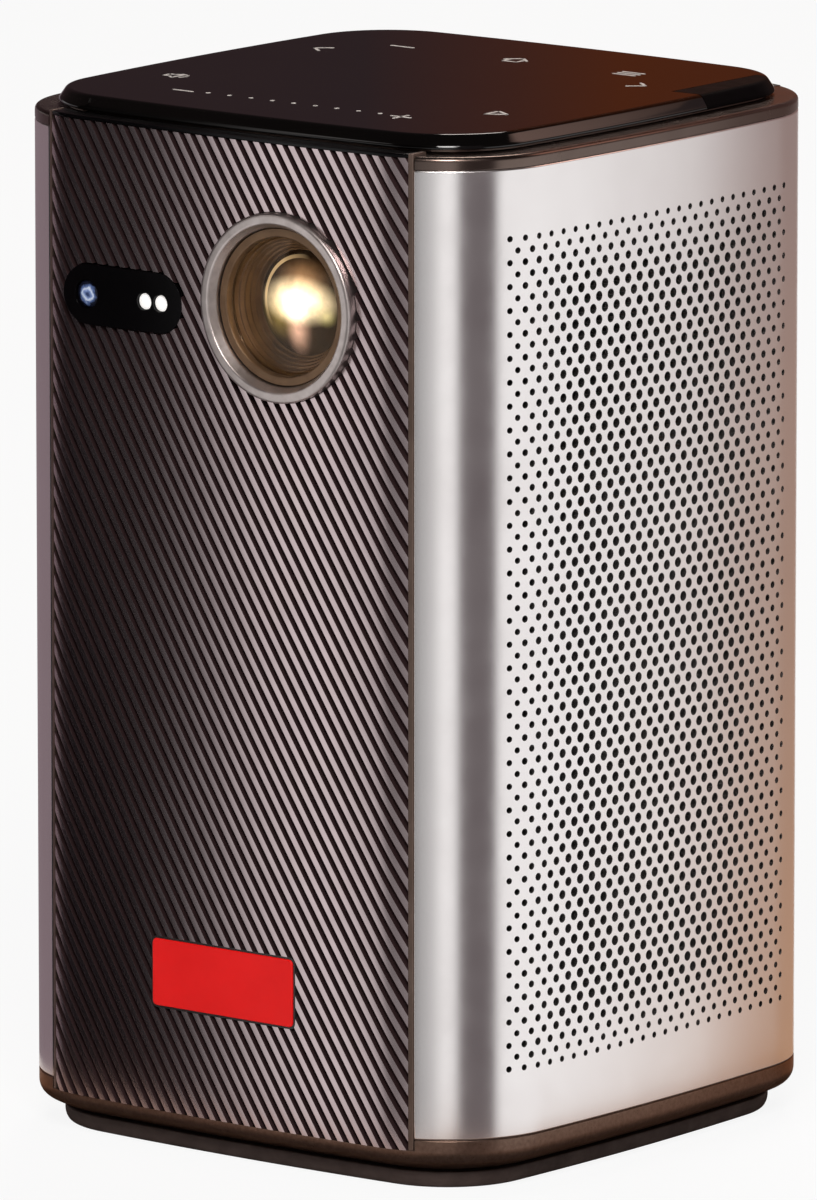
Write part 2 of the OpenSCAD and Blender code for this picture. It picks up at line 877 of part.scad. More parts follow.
module lens_sleeve() {
    slot_half = arm_w / 2 + moving_gap;
    color("#26221f")
        difference() {
            union() {
                at_lens() rod_y(sleeve_r, bezel_back, inner_y0);
                box([lens_x - arm_w / 2, ear_y, screw_z - arm_w / 2],
                    [lens_x + arm_w / 2, ear_y + ear_len, lens_z - barrel_r - sleeve_wall / 2]);
            }
            at_lens() rod_y(sleeve_in, bezel_back - cut, inner_y0 + cut);
            at_focus_screw() rod_y(lead_r + running_gap, ear_y - cut, ear_y + ear_len + cut);
            box([lens_x - slot_half, arm_y - focus_travel - moving_gap, screw_z - arm_w],
                [lens_x + slot_half, arm_y + arm_len + focus_travel + moving_gap, lens_z - barrel_in]);
        }
}

module focus_barrel() {
    color("#1a1716")
        difference() {
            union() {
                at_lens() rod_y(barrel_r, barrel_front, barrel_back);
                box([lens_x - arm_w / 2, arm_y, screw_z - arm_w / 2],
                    [lens_x + arm_w / 2, arm_y + arm_len, lens_z - barrel_in - barrel_wall / 2]);
            }
            at_lens() rod_y(barrel_in, barrel_front - cut, barrel_back + cut);
            at_lens() rod_y(glass_r, barrel_front - cut, front_glass_y + glass_edge + running_gap);
            at_focus_screw() rod_y(lead_r + running_gap, arm_y - cut, arm_y + arm_len + cut);
        }
}

// A lens with its bulging side towards -Y
module dome_lens(r, rim, bulge) {
    ball_r = (r * r + bulge * bulge) / (2 * bulge);
    edge_a = asin(r / ball_r);
    dome = [for (i = [0 : dome_steps])
        let (a = edge_a * i / dome_steps)
        [ball_r * sin(a), ball_r * (1 - cos(a)) - bulge]];
    rotate([-90, 0, 0]) rotate_extrude() polygon(concat(dome, [[r, rim], [0, rim]]));
}

module front_lens() {
    color("#d9b25a", 0.6)
        at_lens() translate([0, front_glass_y, 0]) dome_lens(glass_r - running_gap, glass_edge, glass_bulge);
}

module rear_lens() {
    color("#cfd8dc", 0.6)
        at_lens() translate([0, rear_glass_y, 0]) dome_lens(barrel_in - running_gap, glass_edge, glass_bulge);
}

module focus_motor() {
    color("#9a9a9c")
        at_focus_screw() difference() {
            rod_y(motor_r, motor_front, engine_y0);
            rod_y(lead_r + running_gap, motor_front - cut, motor_front + screw_seat + moving_gap);
        }
}

module focus_screw() {
    color("#b9bcc0") at_focus_screw() rod_y(lead_r, ear_y - moving_gap, motor_front + screw_seat);
}

// Sensor window with the camera and the range sensors behind it

module window_shape(gap, y0, y1) {
    pill_y(window_w + 2 * gap, window_h + 2 * gap, y0, y1);
}

module sensor_window() {
    front = -half + window_setback;
    back = front + window_t;
    color("#0b0b0d")
        difference() {
            at_window() window_shape(0, front, back);
            at_camera() rod_y(camera_r + seat_gap, front - cut, back + cut);
            at_range_sensors() rod_y(range_r + seat_gap, front - cut, back + cut);
        }
}

module camera_lens() {
    color("#3a3d45")
        at_camera() rod_y(camera_r, sensor_front, -half + sensor_depth);
}

module range_sensors() {
    color("#e9e6e2") at_range_sensors() rod_y(range_r, sensor_front, -half + sensor_depth);
}

module sensor_board_block(gap) {
    front = -half + sensor_depth;
    at_window() box([-sensor_board_w / 2 - gap, front - gap, -window_h / 2 - gap],
                    [sensor_board_w / 2 + gap, front + board_t + gap, window_h / 2 + gap]);
}

module sensor_board() {
    color("#1f5b3a") sensor_board_block(0);
}

// Badge: a plain red plate set into the ribs

module badge_block(gap, y0, y1) {
    box([-badge_w / 2 - gap, y0, badge_z - badge_h / 2 - gap],
        [badge_w / 2 + gap, y1, badge_z + badge_h / 2 + gap]);
}

module badge_plate() {
    color("#e61919") badge_block(0, -half, -half + badge_t);
}

// Power button with its switch

module power_button() {
    flange_y1 = half - panel_d - guide_depth - moving_gap;
    flange_y0 = flange_y1 - button_flange;
    stem_y = board_back + switch_h + plunger_h + button_travel + running_gap;
    color("#3a3634")
        translate([0, 0, button_z]) {
            rod_y(button_r, flange_y0, half + proud);
            rod_y(button_r + button_flange, flange_y0, flange_y1);
            rod_y(stem_r, stem_y, flange_y1);
        }
}

module power_switch() {
    color("#2c2c30")
        translate([0, 0, button_z]) {
            square_bar_y(switch_a, board_back, board_back + switch_h);
            rod_y(plunger_r, board_back, board_back + switch_h + plunger_h);
        }
}

// Sockets on the main board, each with a real mouth and tongue

module at_socket(side, level) {
    translate([side * socket_x, 0, socket_z + level * socket_rise]) children();
}

module square_socket(mouth, tongue, tongue_z) {
    outer = mouth + 2 * socket_wall * [1, 1];
    back = socket_mouth - socket_depth;
    difference() {
        box([-outer[0] / 2, board_back, -outer[1] / 2], [outer[0] / 2, socket_mouth, outer[1] / 2]);
        box([-mouth[0] / 2, back, -mouth[1] / 2], [mouth[0] / 2, socket_mouth + cut, mouth[1] / 2]);
    }
    translate([0, 0, tongue_z])
        box([-tongue[0] / 2, back, -tongue[1] / 2],
            [tongue[0] / 2, socket_mouth - tongue_setback, tongue[1] / 2]);
}

module square_opening(mouth) {
    reach = mouth / 2 + (socket_wall + seat_gap) * [1, 1];
    box([-reach[0], half / 2, -reach[1]], [reach[0], half + cut, reach[1]]);
}

module hdmi_socket() {
    color("#b5b7ba") at_socket(-1, 1) square_socket(hdmi_mouth, hdmi_tongue, 0);
}

module usb_socket() {
    color("#b5b7ba") at_socket(1, 1) square_socket(usb_mouth, usb_tongue, usb_mouth[1] / 4);
}

module power_shape(gap, y0, y1) {
    pill_y(power_mouth[0] + 2 * gap, power_mouth[1] + 2 * gap, y0, y1);
}

module power_socket() {
    back = socket_mouth - power_depth;
    color("#b5b7ba") at_socket(-1, 0) {
        difference() {
            power_shape(socket_wall, board_back, socket_mouth);
            power_shape(0, back, socket_mouth + cut);
        }
        box([-power_tongue[0] / 2, back, -power_tongue[1] / 2],
            [power_tongue[0] / 2, socket_mouth - tongue_setback, power_tongue[1] / 2]);
    }
}

module audio_jack() {
    body_y = half - panel_d - panel_sag - seat_gap;
    color("#2a2a2c") at_socket(1, 0)
        difference() {
            union() {
                square_bar_y(jack_body_a, board_back, body_y);
                rod_y(jack_nose_r, board_back, socket_mouth);
            }
            rod_y(audio_r, socket_mouth - audio_depth, socket_mouth + cut);
        }
}

module socket_openings() {
    at_socket(-1, 1) square_opening(hdmi_mouth);
    at_socket(1, 1) square_opening(usb_mouth);
    at_socket(-1, 0) power_shape(socket_wall + seat_gap, half / 2, half + cut);
    at_socket(1, 0) rod_y(jack_nose_r + seat_gap, half / 2, half + cut);
}

// Chassis: tray, posts, speaker baffles, shelf and top frame

module chassis() {
    color("#55524f")
        difference() {
            union() {
                slab(base_wall + seat_gap, floor_z, tray_top);
                ring(panel_d + seat_gap, panel_d + frame_w, frame_z, shell_top);
                intersection() {
                    at_posts() box([-post_w / 2, -post_w / 2, floor_z], [post_w / 2, post_w / 2, shell_top]);
                    slab(base_wall + seat_gap, floor_z, shell_top);
                }
                box([-post_out, -post_out, shelf_z], [post_out, fan_front - moving_gap, shelf_top]);
                for (s = [-1, 1], z = bar_zs)
                    box([-post_c, s * (board_back + bar_t / 2) - bar_t / 2, z],
                        [post_c, s * (board_back + bar_t / 2) + bar_t / 2, z + bar_h]);
                for (s = [-1, 1])
                    box([s * (baffle_x + sheet_t / 2) - sheet_t / 2, -post_c, floor_z],
                        [s * (baffle_x + sheet_t / 2) + sheet_t / 2, post_c, shelf_top]);
            }
            rod_z(insert_r + insert_boss_wall + seat_gap, floor_z - cut, tray_top + cut);
            sensor_board_block(seat_gap);
            translate([0, 0, speaker_z]) rod_x(speaker_r - flange_w / 2 + seat_gap, -half, half);
            at_posts() rod_z(hole_r, floor_z - cut, foot_h + head_h + screw_len + 2 * seat_gap);
            at_posts() rod_z(hole_r, plate_z - head_h - screw_len - 2 * seat_gap, shell_top + cut);
            at_panel_screws() rod_y(hole_r, -post_out - cut, -post_in + cut);
            at_panel_screws() rod_y(hole_r, half - panel_d - screw_len - seat_gap, post_out + cut);
        }
}

// Light engine: housing with pedestals, lid, lamps, lenses, dichroic cube, prism and mirror chip

module pedestal(x, y, wx, wy, top) {
    box([x - wx / 2, y - wy / 2, engine_floor - engine_wall / 2], [x + wx / 2, y + wy / 2, top]);
}

// Centres of the condensers as [x, y, turn about Z], bulging side towards the dichroic cube
function condenser_places() =
    let (step = cube_a / 2 + seat_gap + condenser_t)
    [
        [cube_c - step, engine_y, 90],
        [cube_c, engine_y + step, 0],
        [cube_c, engine_y - step, 180],
        [cube_c + step, engine_y, -90]
    ];

module engine_housing() {
    top = engine_z1 - engine_wall;
    color("#4a4a4e")
        difference() {
            union() {
                difference() {
                    box([engine_x0, engine_y0, shelf_top], [engine_x1, engine_y1, top]);
                    box([inner_x0, inner_y0, engine_floor],
                        [engine_x1 - engine_wall, inner_y1, engine_z1 + cut]);
                }
                pedestal(cube_c, engine_y, cube_a, cube_a, lens_z - cube_a / 2);
                pedestal(lens_x, engine_y, prism_a, prism_a, lens_z - prism_a / 2);
                for (p = condenser_places())
                    pedestal(p[0], p[1], condenser_t, condenser_t, lens_z - condenser_r);
            }
            at_lens() rod_y(sleeve_r + running_gap, engine_y0 - cut, inner_y0 + cut / 2);
        }
}

module engine_lid() {
    color("#5a5a5e")
        box([engine_x0, engine_y0, engine_z1 - engine_wall], [engine_x1, engine_y1, engine_z1]);
}

module lamp() {
    square_bar_y(lamp_a, -lamp_t, 0);
    square_bar_y(emitter_a, -lamp_t - emitter_t, -lamp_t / 2);
}

module lamp_boards() {
    color("#e8e4d8") {
        translate([inner_x0, engine_y, lens_z]) rotate([0, 0, 90]) lamp();
        translate([cube_c, inner_y1, lens_z]) lamp();
        translate([cube_c, inner_y0, lens_z]) rotate([0, 0, 180]) lamp();
    }
}

module condenser_lenses() {
    color("#dfe7ea", 0.6)
        for (p = condenser_places())
            translate([p[0], p[1], lens_z]) rotate([0, 0, p[2]])
                dome_lens(condenser_r, condenser_t / 2, condenser_t / 2);
}

module dichroic_cube() {
    color("#9fb7d6", 0.6) translate([cube_c, engine_y, lens_z]) cube(cube_a, center = true);
}

module prism() {
    color("#cfe0e6", 0.6) translate([lens_x, engine_y, lens_z]) cube(prism_a, center = true);
}

module mirror_chip() {
    front = engine_y + prism_a / 2 + seat_gap;
    color("#6f7478")
        at_lens() {
            box([-chip_w / 2, front, -chip_h / 2], [chip_w / 2, inner_y1, chip_h / 2]);
            box([-chip_w / 2 - chip_margin, inner_y1 - chip_board_t, -chip_h / 2 - chip_margin],
                [chip_w / 2 + chip_margin, inner_y1, chip_h / 2 + chip_margin]);
        }
}

// Cooling: heat sink, heat pipe and fan

module heat_sink() {
    pitch = (sink_w - fin_t) / (fin_count - 1);
    color("#a9adb0")
        difference() {
            union() {
                box([sink_x, engine_y1, sink_z0], [sink_x + sink_w, sink_y, sink_z1]);
                for (i = [0 : fin_count - 1])
                    translate([sink_x + i * pitch, 0, 0])
                        box([0, engine_y1, sink_z0], [fin_t, fin_tip, sink_z1]);
            }
            at_pipes() rod_x(pipe_r + running_gap, sink_x - cut, sink_x + sink_w + cut);
        }
}

module at_pipes() {
    for (s = [-1, 1])
        translate([0, pipe_y, lens_z + s * pipe_rise]) children();
}

module heat_pipes() {
    color("#b5703c") at_pipes() rod_x(pipe_r, sink_x, sink_x + sink_w);
}

module fan_frame() {
    base_y = fan_rear - fan_wall;
    color("#1c1c1e")
        difference() {
            union() {
                difference() {
                    translate([-fan_a / 2, fan_front, fan_z - fan_a / 2]) cube([fan_a, fan_t, fan_a]);
                    at_fan() rod_y(fan_bore_r, fan_front - cut, fan_rear + cut);
                }
                at_fan() rod_y(hub_r, base_y, fan_rear);
                at_fan() rod_y(bearing_r, rotor_front + 2 * fan_wall, fan_rear);
                at_fan() for (a = [30, 150, 270])
                    rotate([0, a, 0])
                        box([hub_r / 2, base_y, -strut_half],
                            [fan_bore_r + fan_wall / 2, fan_rear, strut_half]);
            }
            at_fan() rod_y(shaft_r + running_gap, fan_front, fan_rear - fan_wall / 2);
            at_fan_corners() rod_y(hole_r, fan_front - cut, fan_rear + cut);
            at_fan_corners() rod_y(head_r + seat_gap, fan_front - cut, fan_front + head_h + seat_gap);
        }
}

module fan_stator() {
    color("#b5703c")
        at_fan() difference() {
            rod_y(hub_r - 2 * fan_wall, rotor_front + 3 * fan_wall, rotor_rear - fan_wall);
            rod_y(bearing_r + running_gap, fan_front, fan_rear);
        }
}

module fan_blades() {
    intersection() {
        difference() {
            rod_y(blade_tip_r, rotor_front, rotor_rear);
            rod_y(hub_r - fan_wall / 2, fan_front, fan_rear);
        }
        for (i = [0 : blade_count - 1])
            rotate([0, i * 360 / blade_count, 0])
                translate([blade_tip_r / 2, (rotor_front + rotor_rear) / 2, 0])
                    rotate([blade_pitch, 0, 0])
                        cube([blade_tip_r + 2 * cut, fan_t, blade_t], center = true);
    }
}

module fan_rotor() {
    color("#2a2a2d")
        at_fan() difference() {
            union() {
                rod_y(hub_r, rotor_front, rotor_rear);
                fan_blades();
            }
            rod_y(hub_r - fan_wall, rotor_front + fan_wall, rotor_rear + cut);
            rod_y(shaft_r + running_gap / 2, rotor_front + fan_wall / 3, rotor_rear);
        }
}

module fan_shaft() {
    color("#c4c7ca") at_fan() rod_y(shaft_r, rotor_front + fan_wall / 2, fan_rear - fan_wall);
}

// Boards and battery

module main_board() {
    color("#1f5b3a")
        box([-board_w / 2, board_y, board_z0], [board_w / 2, board_back, board_z1]);
}

module processor_shield() {
    color("#a9adb0") translate([0, 0, speaker_z]) square_bar_y(shield_a, board_y - shield_t, board_y);
}

module power_board() {
    color("#1f5b3a")
        box([-board_w / 2, -board_back, board_z0], [board_w / 2, -board_y, board_z1]);
}

module power_coils() {
    color("#3c3c40")
        for (i = [-1 : 1])
            translate([i * coil_core_step, 0, speaker_z])
                rod_y(coil_core_r, -board_y, -board_y + coil_core_h);
}

module at_cells() {
    step = (cell_d + seat_gap) / 2;
    for (x = [-step, step], y = [-step, step])
        translate([x, y, 0]) children();
}

module battery_cells() {
    z0 = tray_top + holder_wall;
    color("#3d7fb5") at_cells() rod_z(cell_d / 2, z0, z0 + cell_len);
}

module battery_holder() {
    wall_in = holder_half - holder_wall;
    top = tray_top + 2 * holder_wall + cell_len;
    color("#222224") {
        for (z = [tray_top, top - holder_wall])
            box([-wall_in, -holder_half, z], [wall_in, holder_half, z + holder_wall]);
        for (s = [-1, 1])
            box([-wall_in, s * (wall_in + holder_wall / 2) - holder_wall / 2, tray_top],
                [wall_in, s * (wall_in + holder_wall / 2) + holder_wall / 2, top]);
    }
}

// Speakers, drawn for the right side and mirrored for the left

module turned_about_x(points) {
    translate([0, 0, speaker_z]) rotate([0, 90, 0]) rotate_extrude() polygon(points);
}

module speaker_frame() {
    throat = speaker_r - flange_w;
    seat_r = speaker_r - flange_w / 2;
    well = magnet_r;
    hole = coil_r + surround_t + moving_gap;
    color("#262628")
        turned_about_x([
            [hole, magnet_front], [well, magnet_front], [throat + surround_t, baffle_x],
            [seat_r, baffle_x], [seat_r, flange_x], [speaker_r, flange_x],
            [speaker_r, flange_x + 2 * surround_t], [cone_r + moving_gap, flange_x + 2 * surround_t],
            [cone_r + moving_gap, cone_rim_x], [throat, cone_rim_x], [throat, baffle_x],
            [well - surround_t, magnet_front + surround_t], [hole, magnet_front + surround_t]
        ]);
}

module speaker_magnet() {
    groove = magnet_x + magnet_t / 4;
    color("#8d9094")
        turned_about_x([
            [0, magnet_x], [magnet_r, magnet_x], [magnet_r, magnet_front],
            [coil_r + moving_gap, magnet_front], [coil_r + moving_gap, groove],
            [coil_r - cone_t - moving_gap, groove],
            [coil_r - cone_t - moving_gap, magnet_front], [0, magnet_front]
        ]);
}

module speaker_cone() {
    neck_x = magnet_front + surround_t + cone_travel + moving_gap;
    coil_x = magnet_front - magnet_t / 4;
    color("#403c3a")
        turned_about_x([
            [coil_r - cone_t, coil_x], [coil_r, coil_x], [coil_r, neck_x], [cone_r, cone_rim_x],
            [cone_r, cone_rim_x + cone_t], [coil_r, neck_x + 2 * cone_t], [0, neck_x + 3 * cone_t],
            [0, neck_x + 2 * cone_t], [coil_r - cone_t, neck_x + cone_t]
        ]);
}

module right_speaker_frame() {
    speaker_frame();
}

module right_speaker_magnet() {
    speaker_magnet();
}

module right_speaker_cone() {
    speaker_cone();
}

module left_speaker_frame() {
    mirror([1, 0, 0]) speaker_frame();
}

module left_speaker_magnet() {
    mirror([1, 0, 0]) speaker_magnet();
}

module left_speaker_cone() {
    mirror([1, 0, 0]) speaker_cone();
}

// Screws: the shank points along +Z from the underside of the head

module screw(length) {
    rod_z(head_r, -head_h, 0);
    rod_z(screw_r, -head_h / 2, length);
}

module case_screws() {
    color("#8f8f92") {
        at_posts() translate([0, 0, foot_h + head_h + seat_gap]) screw(screw_len);
        at_posts() translate([0, 0, plate_z - head_h - seat_gap]) mirror([0, 0, 1]) screw(screw_len);
        at_panel_screws() translate([0, half - panel_d, 0]) rotate([90, 0, 0]) screw(screw_len);
        at_panel_screws() translate([0, -post_in, 0]) rotate([90, 0, 0]) screw(screw_len);
    }
}

module fan_screws() {
    seat = fan_front + head_h + seat_gap;
    color("#8f8f92")
        at_fan_corners() translate([0, seat, 0]) rotate([-90, 0, 0]) screw(fan_screw_tip - seat);
}

right_side_shell();
left_side_shell();
front_panel();
right_trim_strip();
left_trim_strip();
rear_panel();
top_rim();
touch_plate();
ir_window();
touch_board();
base_frame();
rubber_foot();
tripod_insert();
lens_bezel();
lens_sleeve();
focus_barrel();
front_lens();
rear_lens();
focus_motor();
focus_screw();
sensor_window();
camera_lens();
range_sensors();
sensor_board();
badge_plate();
power_button();
power_switch();
hdmi_socket();
usb_socket();
power_socket();
audio_jack();
chassis();
engine_housing();
engine_lid();
lamp_boards();
condenser_lenses();
dichroic_cube();
prism();
mirror_chip();
heat_sink();
heat_pipes();
fan_frame();
fan_stator();
fan_rotor();
fan_shaft();
main_board();
processor_shield();
power_board();
power_coils();
battery_cells();
battery_holder();
right_speaker_frame();
right_speaker_magnet();
right_speaker_cone();
left_speaker_frame();
left_speaker_magnet();
left_speaker_cone();
case_screws();
fan_screws();
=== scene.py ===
"""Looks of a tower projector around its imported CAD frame: perforated aluminium sides, a diagonally
ribbed front with a lit lens, a glass touch top and a black base. Sizes are in millimetres."""

import math

import bmesh
import bpy
import numpy as np
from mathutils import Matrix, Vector


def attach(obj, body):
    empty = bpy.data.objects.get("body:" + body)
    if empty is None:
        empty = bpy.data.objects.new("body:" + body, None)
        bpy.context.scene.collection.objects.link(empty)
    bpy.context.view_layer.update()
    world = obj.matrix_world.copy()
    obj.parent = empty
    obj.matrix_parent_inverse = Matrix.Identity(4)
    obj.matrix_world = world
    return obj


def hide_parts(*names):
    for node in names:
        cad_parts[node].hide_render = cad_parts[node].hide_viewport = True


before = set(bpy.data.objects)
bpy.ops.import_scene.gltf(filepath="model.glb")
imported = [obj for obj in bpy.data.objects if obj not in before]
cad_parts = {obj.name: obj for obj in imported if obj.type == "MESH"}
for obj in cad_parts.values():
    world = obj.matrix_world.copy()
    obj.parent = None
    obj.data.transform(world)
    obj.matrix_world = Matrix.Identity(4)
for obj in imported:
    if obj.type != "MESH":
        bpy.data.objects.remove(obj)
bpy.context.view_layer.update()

MM = 0.001

# Plan outline of the body: four slightly bowed faces and round corners
HALF = 43
CORNER_R = 17
BOW_R = 457
BOW_C = BOW_R - HALF
CORNER_C = (math.sqrt(2 * (BOW_R - CORNER_R) ** 2 - BOW_C**2) - BOW_C) / 2
TOUCH = math.atan2(CORNER_C, CORNER_C + BOW_C)
FACE_LEN = BOW_R * TOUCH

# Heights, depths and places that several pieces share
BODY_H = 145
SHELL_Z0, SHELL_Z1 = 7.5, 140.7
SHELL_X = 31.7
SHELL_WALL = 1.2
PANEL_HALF = 31
PANEL_Z0, PANEL_Z1 = 6, 142.9
PANEL_MID = (PANEL_Z0 + PANEL_Z1) / 2
PANEL_D = 2.6
SEAT_GAP = 0.15
GLASS_Z = 143
FOOT_H = 2
LENS_X, LENS_Z, LENS_HOLE_R = 10, 120, 13.1
LIT_R, LIT_Y = 7.2, -37.2
WINDOW_X, WINDOW_Z, WINDOW_W, WINDOW_H = -17.4, 118.4, 20.8, 8.3
CAMERA_X, CAMERA_R = -23.8, 1.85
SENSOR_XS, SENSOR_R = (-13.6, -10.8), 1.1
BADGE_Z, BADGE_W, BADGE_H, BADGE_R = 25.5, 24.6, 9.4, 0.8
BADGE_BORDER, BADGE_BACK_Y = 0.3, -41.6


# Mesh making


def arc_angle(s):
    """Angle of the outline's normal at arc length s from the middle of a face."""
    s = np.asarray(s, float)
    corner = np.sign(s) * (TOUCH + (np.abs(s) - FACE_LEN) / CORNER_R)
    return np.where(np.abs(s) <= FACE_LEN, s / BOW_R, corner)


def plan(angle, inset):
    """Points of the outline, inset from the faces, where its normal has this angle from +X."""
    angle, inset = np.broadcast_arrays(np.asarray(angle, float), np.asarray(inset, float))
    turn = np.round(angle / (np.pi / 2)) * (np.pi / 2)
    local = angle - turn
    on_face = np.abs(local) <= TOUCH
    r = np.where(on_face, BOW_R, CORNER_R) - inset
    x = np.where(on_face, -BOW_C, CORNER_C) + r * np.cos(local)
    y = np.where(on_face, 0, np.sign(local) * CORNER_C) + r * np.sin(local)
    return np.stack([np.cos(turn) * x - np.sin(turn) * y, np.sin(turn) * x + np.cos(turn) * y], -1)


def face_depth(across, inset):
    """How far a face lies from the body's middle, at a distance across it."""
    b = np.abs(np.asarray(across, float))
    bow_r, corner_r = BOW_R - inset, CORNER_R - inset
    bow = np.sqrt(np.maximum(bow_r**2 - b**2, 0)) - BOW_C
    corner = CORNER_C + np.sqrt(np.maximum(corner_r**2 - (b - CORNER_C) ** 2, 0))
    return np.where(b <= bow_r * math.sin(TOUCH), bow, corner)


def loop_angles():
    """Angles around the whole outline, closer together at the corners."""
    face = np.linspace(-TOUCH, TOUCH, 12, endpoint=False)
    corner = np.linspace(TOUCH, np.pi / 2 - TOUCH, 20, endpoint=False)
    quarter = np.concatenate([face, corner])
    return np.concatenate([quarter + q * np.pi / 2 for q in range(4)])


def rounded(corners, steps=4):
    """A profile with its corners (a, b, radius) eased to small curves, where they have a radius."""
    points = []
    count = len(corners)
    for i, (a, b, *radius) in enumerate(corners):
        p = np.array([a, b])
        if not radius:
            points.append(p)
            continue
        before = np.array(corners[i - 1][:2]) - p
        after = np.array(corners[(i + 1) % count][:2]) - p
        reach = [min(*radius, 0.48 * np.linalg.norm(v)) / np.linalg.norm(v) for v in (before, after)]
        for t in np.linspace(0, 1, steps + 1):
            points.append(p + (1 - t) ** 2 * reach[0] * before + t**2 * reach[1] * after)
    return np.array(points)


def grid_quads(points, wrap_rows=False, wrap_cols=False):
    """Quads of a grid of points (rows, columns, 3)."""
    p = np.asarray(points, float)
    if wrap_rows:
        p = np.concatenate([p, p[:1]])
    if wrap_cols:
        p = np.concatenate([p, p[:, :1]], 1)
    return np.stack([p[:-1, :-1], p[:-1, 1:], p[1:, 1:], p[1:, :-1]], 2).reshape(-1, 4, 3)


def add_object(name, data):
    """A new object in the scene."""
    obj = bpy.data.objects.new(name, data)
    bpy.context.scene.collection.objects.link(obj)
    return obj


def raw_object(name, quads, caps=()):
    """An object of quads and flat caps given by their corners, joined where corners meet."""
    polygons = [*quads, *caps]
    corners = np.concatenate(polygons)
    _, first, index = np.unique(np.round(corners, 4), axis=0, return_index=True, return_inverse=True)
    index = index.ravel()
    faces, at = [], 0
    for polygon in polygons:
        ids = index[at : at + len(polygon)]
        at += len(polygon)
        face = [v for v, previous in zip(ids.tolist(), np.roll(ids, 1).tolist()) if v != previous]
        if len(set(face)) > 2:
            faces.append(face)
    mesh = bpy.data.meshes.new(name)
    mesh.from_pydata((corners[first] * MM).tolist(), [], faces)
    bm = bmesh.new()
    bm.from_mesh(mesh)
    bmesh.ops.recalc_face_normals(bm, faces=bm.faces)
    bm.to_mesh(mesh)
    bm.free()
    return add_object(name, mesh)


def apply_modifiers(obj):
    """Puts what the modifiers make into the mesh itself."""
    graph = bpy.context.evaluated_depsgraph_get()
    made = bpy.data.meshes.new_from_object(obj.evaluated_get(graph))
    obj.modifiers.clear()
    obj.data = made
    return obj


def cut(obj, cutters, operation="DIFFERENCE"):
    """Takes the cutters out of an object, or keeps only what lies in them."""
    for cutter in cutters:
        modifier = obj.modifiers.new("cut", "BOOLEAN")
        modifier.operation = operation
        modifier.solver = "EXACT"
        modifier.object = cutter
    apply_modifiers(obj)
    for cutter in cutters:
        bpy.data.objects.remove(cutter)
    return obj


def soften(obj, width, angle=40, segments=2):
    """Rounds the sharp edges of an object."""
    modifier = obj.modifiers.new("soften", "BEVEL")
    modifier.width = width * MM
    modifier.segments = segments
    modifier.limit_method = "ANGLE"
    modifier.angle_limit = math.radians(angle)
    return apply_modifiers(obj)


def joined(name, objects):
    """One object out of several."""
    bm = bmesh.new()
    for obj in objects:
        bm.from_mesh(obj.data)
        bpy.data.objects.remove(obj)
    mesh = bpy.data.meshes.new(name)
    bm.to_mesh(mesh)
    bm.free()
    return add_object(name, mesh)


def prism_z(name, points, z0, z1):
    """An upright prism over a plan polygon."""
    low, high = [np.column_stack([points, np.full(len(points), z)]) for z in (z0, z1)]
    return raw_object(name, grid_quads([low, high], wrap_cols=True), [low, high])


def prism_y(name, points, y0, y1):
    """A prism along Y over a polygon of (x, z) points."""
    x, z = np.asarray(points, float).T
    near, far = [np.column_stack([x, np.full(len(x), y), z]) for y in (y0, y1)]
    return raw_object(name, grid_quads([near, far], wrap_cols=True), [near, far])


def around(a):
    """Points on the unit circle at these angles."""
    return np.column_stack([np.cos(a), np.sin(a)])


def circle(cx, cz, r, count=48):
    return r * around(np.linspace(0, 2 * np.pi, count, endpoint=False)) + [cx, cz]


def pill(cx, cz, w, h, count=32):
    """A flat pill outline of (x, z) points."""
    a = np.linspace(-np.pi / 2, np.pi / 2, count)
    x, z = (w - h) / 2 + h / 2 * np.cos(a), h / 2 * np.sin(a)
    return np.column_stack([np.concatenate([cx + x, cx - x]), np.concatenate([cz + z, cz - z])])


def rectangle(cx, cz, w, h, *radius, steps=5):
    signs = ((1, -1), (1, 1), (-1, 1), (-1, -1))
    return rounded([(x * w / 2, z * h / 2, *radius) for x, z in signs], steps) + [cx, cz]


def lathe(name, profile, centre, axis="y", count=96):
    """A turned shape about Y or Z; its closed profile is (radius, place along the axis)."""
    a = np.linspace(0, 2 * np.pi, count, endpoint=False)
    rows = []
    for r, along in profile:
        u, v = centre[0] + r * np.cos(a), centre[1] + r * np.sin(a)
        w = np.full(count, along)
        rows.append(np.column_stack([u, w, v] if axis == "y" else [u, v, w]))
    return raw_object(name, grid_quads(rows, wrap_rows=True, wrap_cols=True))


def plan_strip(x0, x1, inset0, inset1, side, steps=24):
    """A plan polygon along the front (-1) or rear (1) face, between two insets."""
    x = np.linspace(x0, x1, steps)
    outer = np.column_stack([x, side * face_depth(x, inset0)])
    inner = np.column_stack([x, side * face_depth(x, inset1)])
    return np.concatenate([outer, inner[::-1]])


def outline_sweep(name, profile, caps=False):
    """A closed profile of (inset, z) carried around the outline, or an open one with flat ends."""
    angles = loop_angles()
    rows = [np.column_stack([plan(angles, inset), np.full(len(angles), z)]) for inset, z in profile]
    quads = grid_quads(rows, wrap_rows=not caps, wrap_cols=True)
    return raw_object(name, quads, [rows[0], rows[-1]] if caps else [])


def paint(obj, material):
    obj.data.materials.clear()
    obj.data.materials.append(material)


def dress(obj, material, node=None, body="projector", sharp=35):
    """Gives a piece its finish, the CAD node that it stands for and the body that it rides on."""
    paint(obj, material)
    obj.data.shade_smooth()
    obj.data.set_sharp_from_angle(angle=math.radians(sharp))
    flat = obj.modifiers.new("flat_faces", "WEIGHTED_NORMAL")
    flat.keep_sharp = True
    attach(obj, body)
    if node:
        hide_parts(node)


# Materials

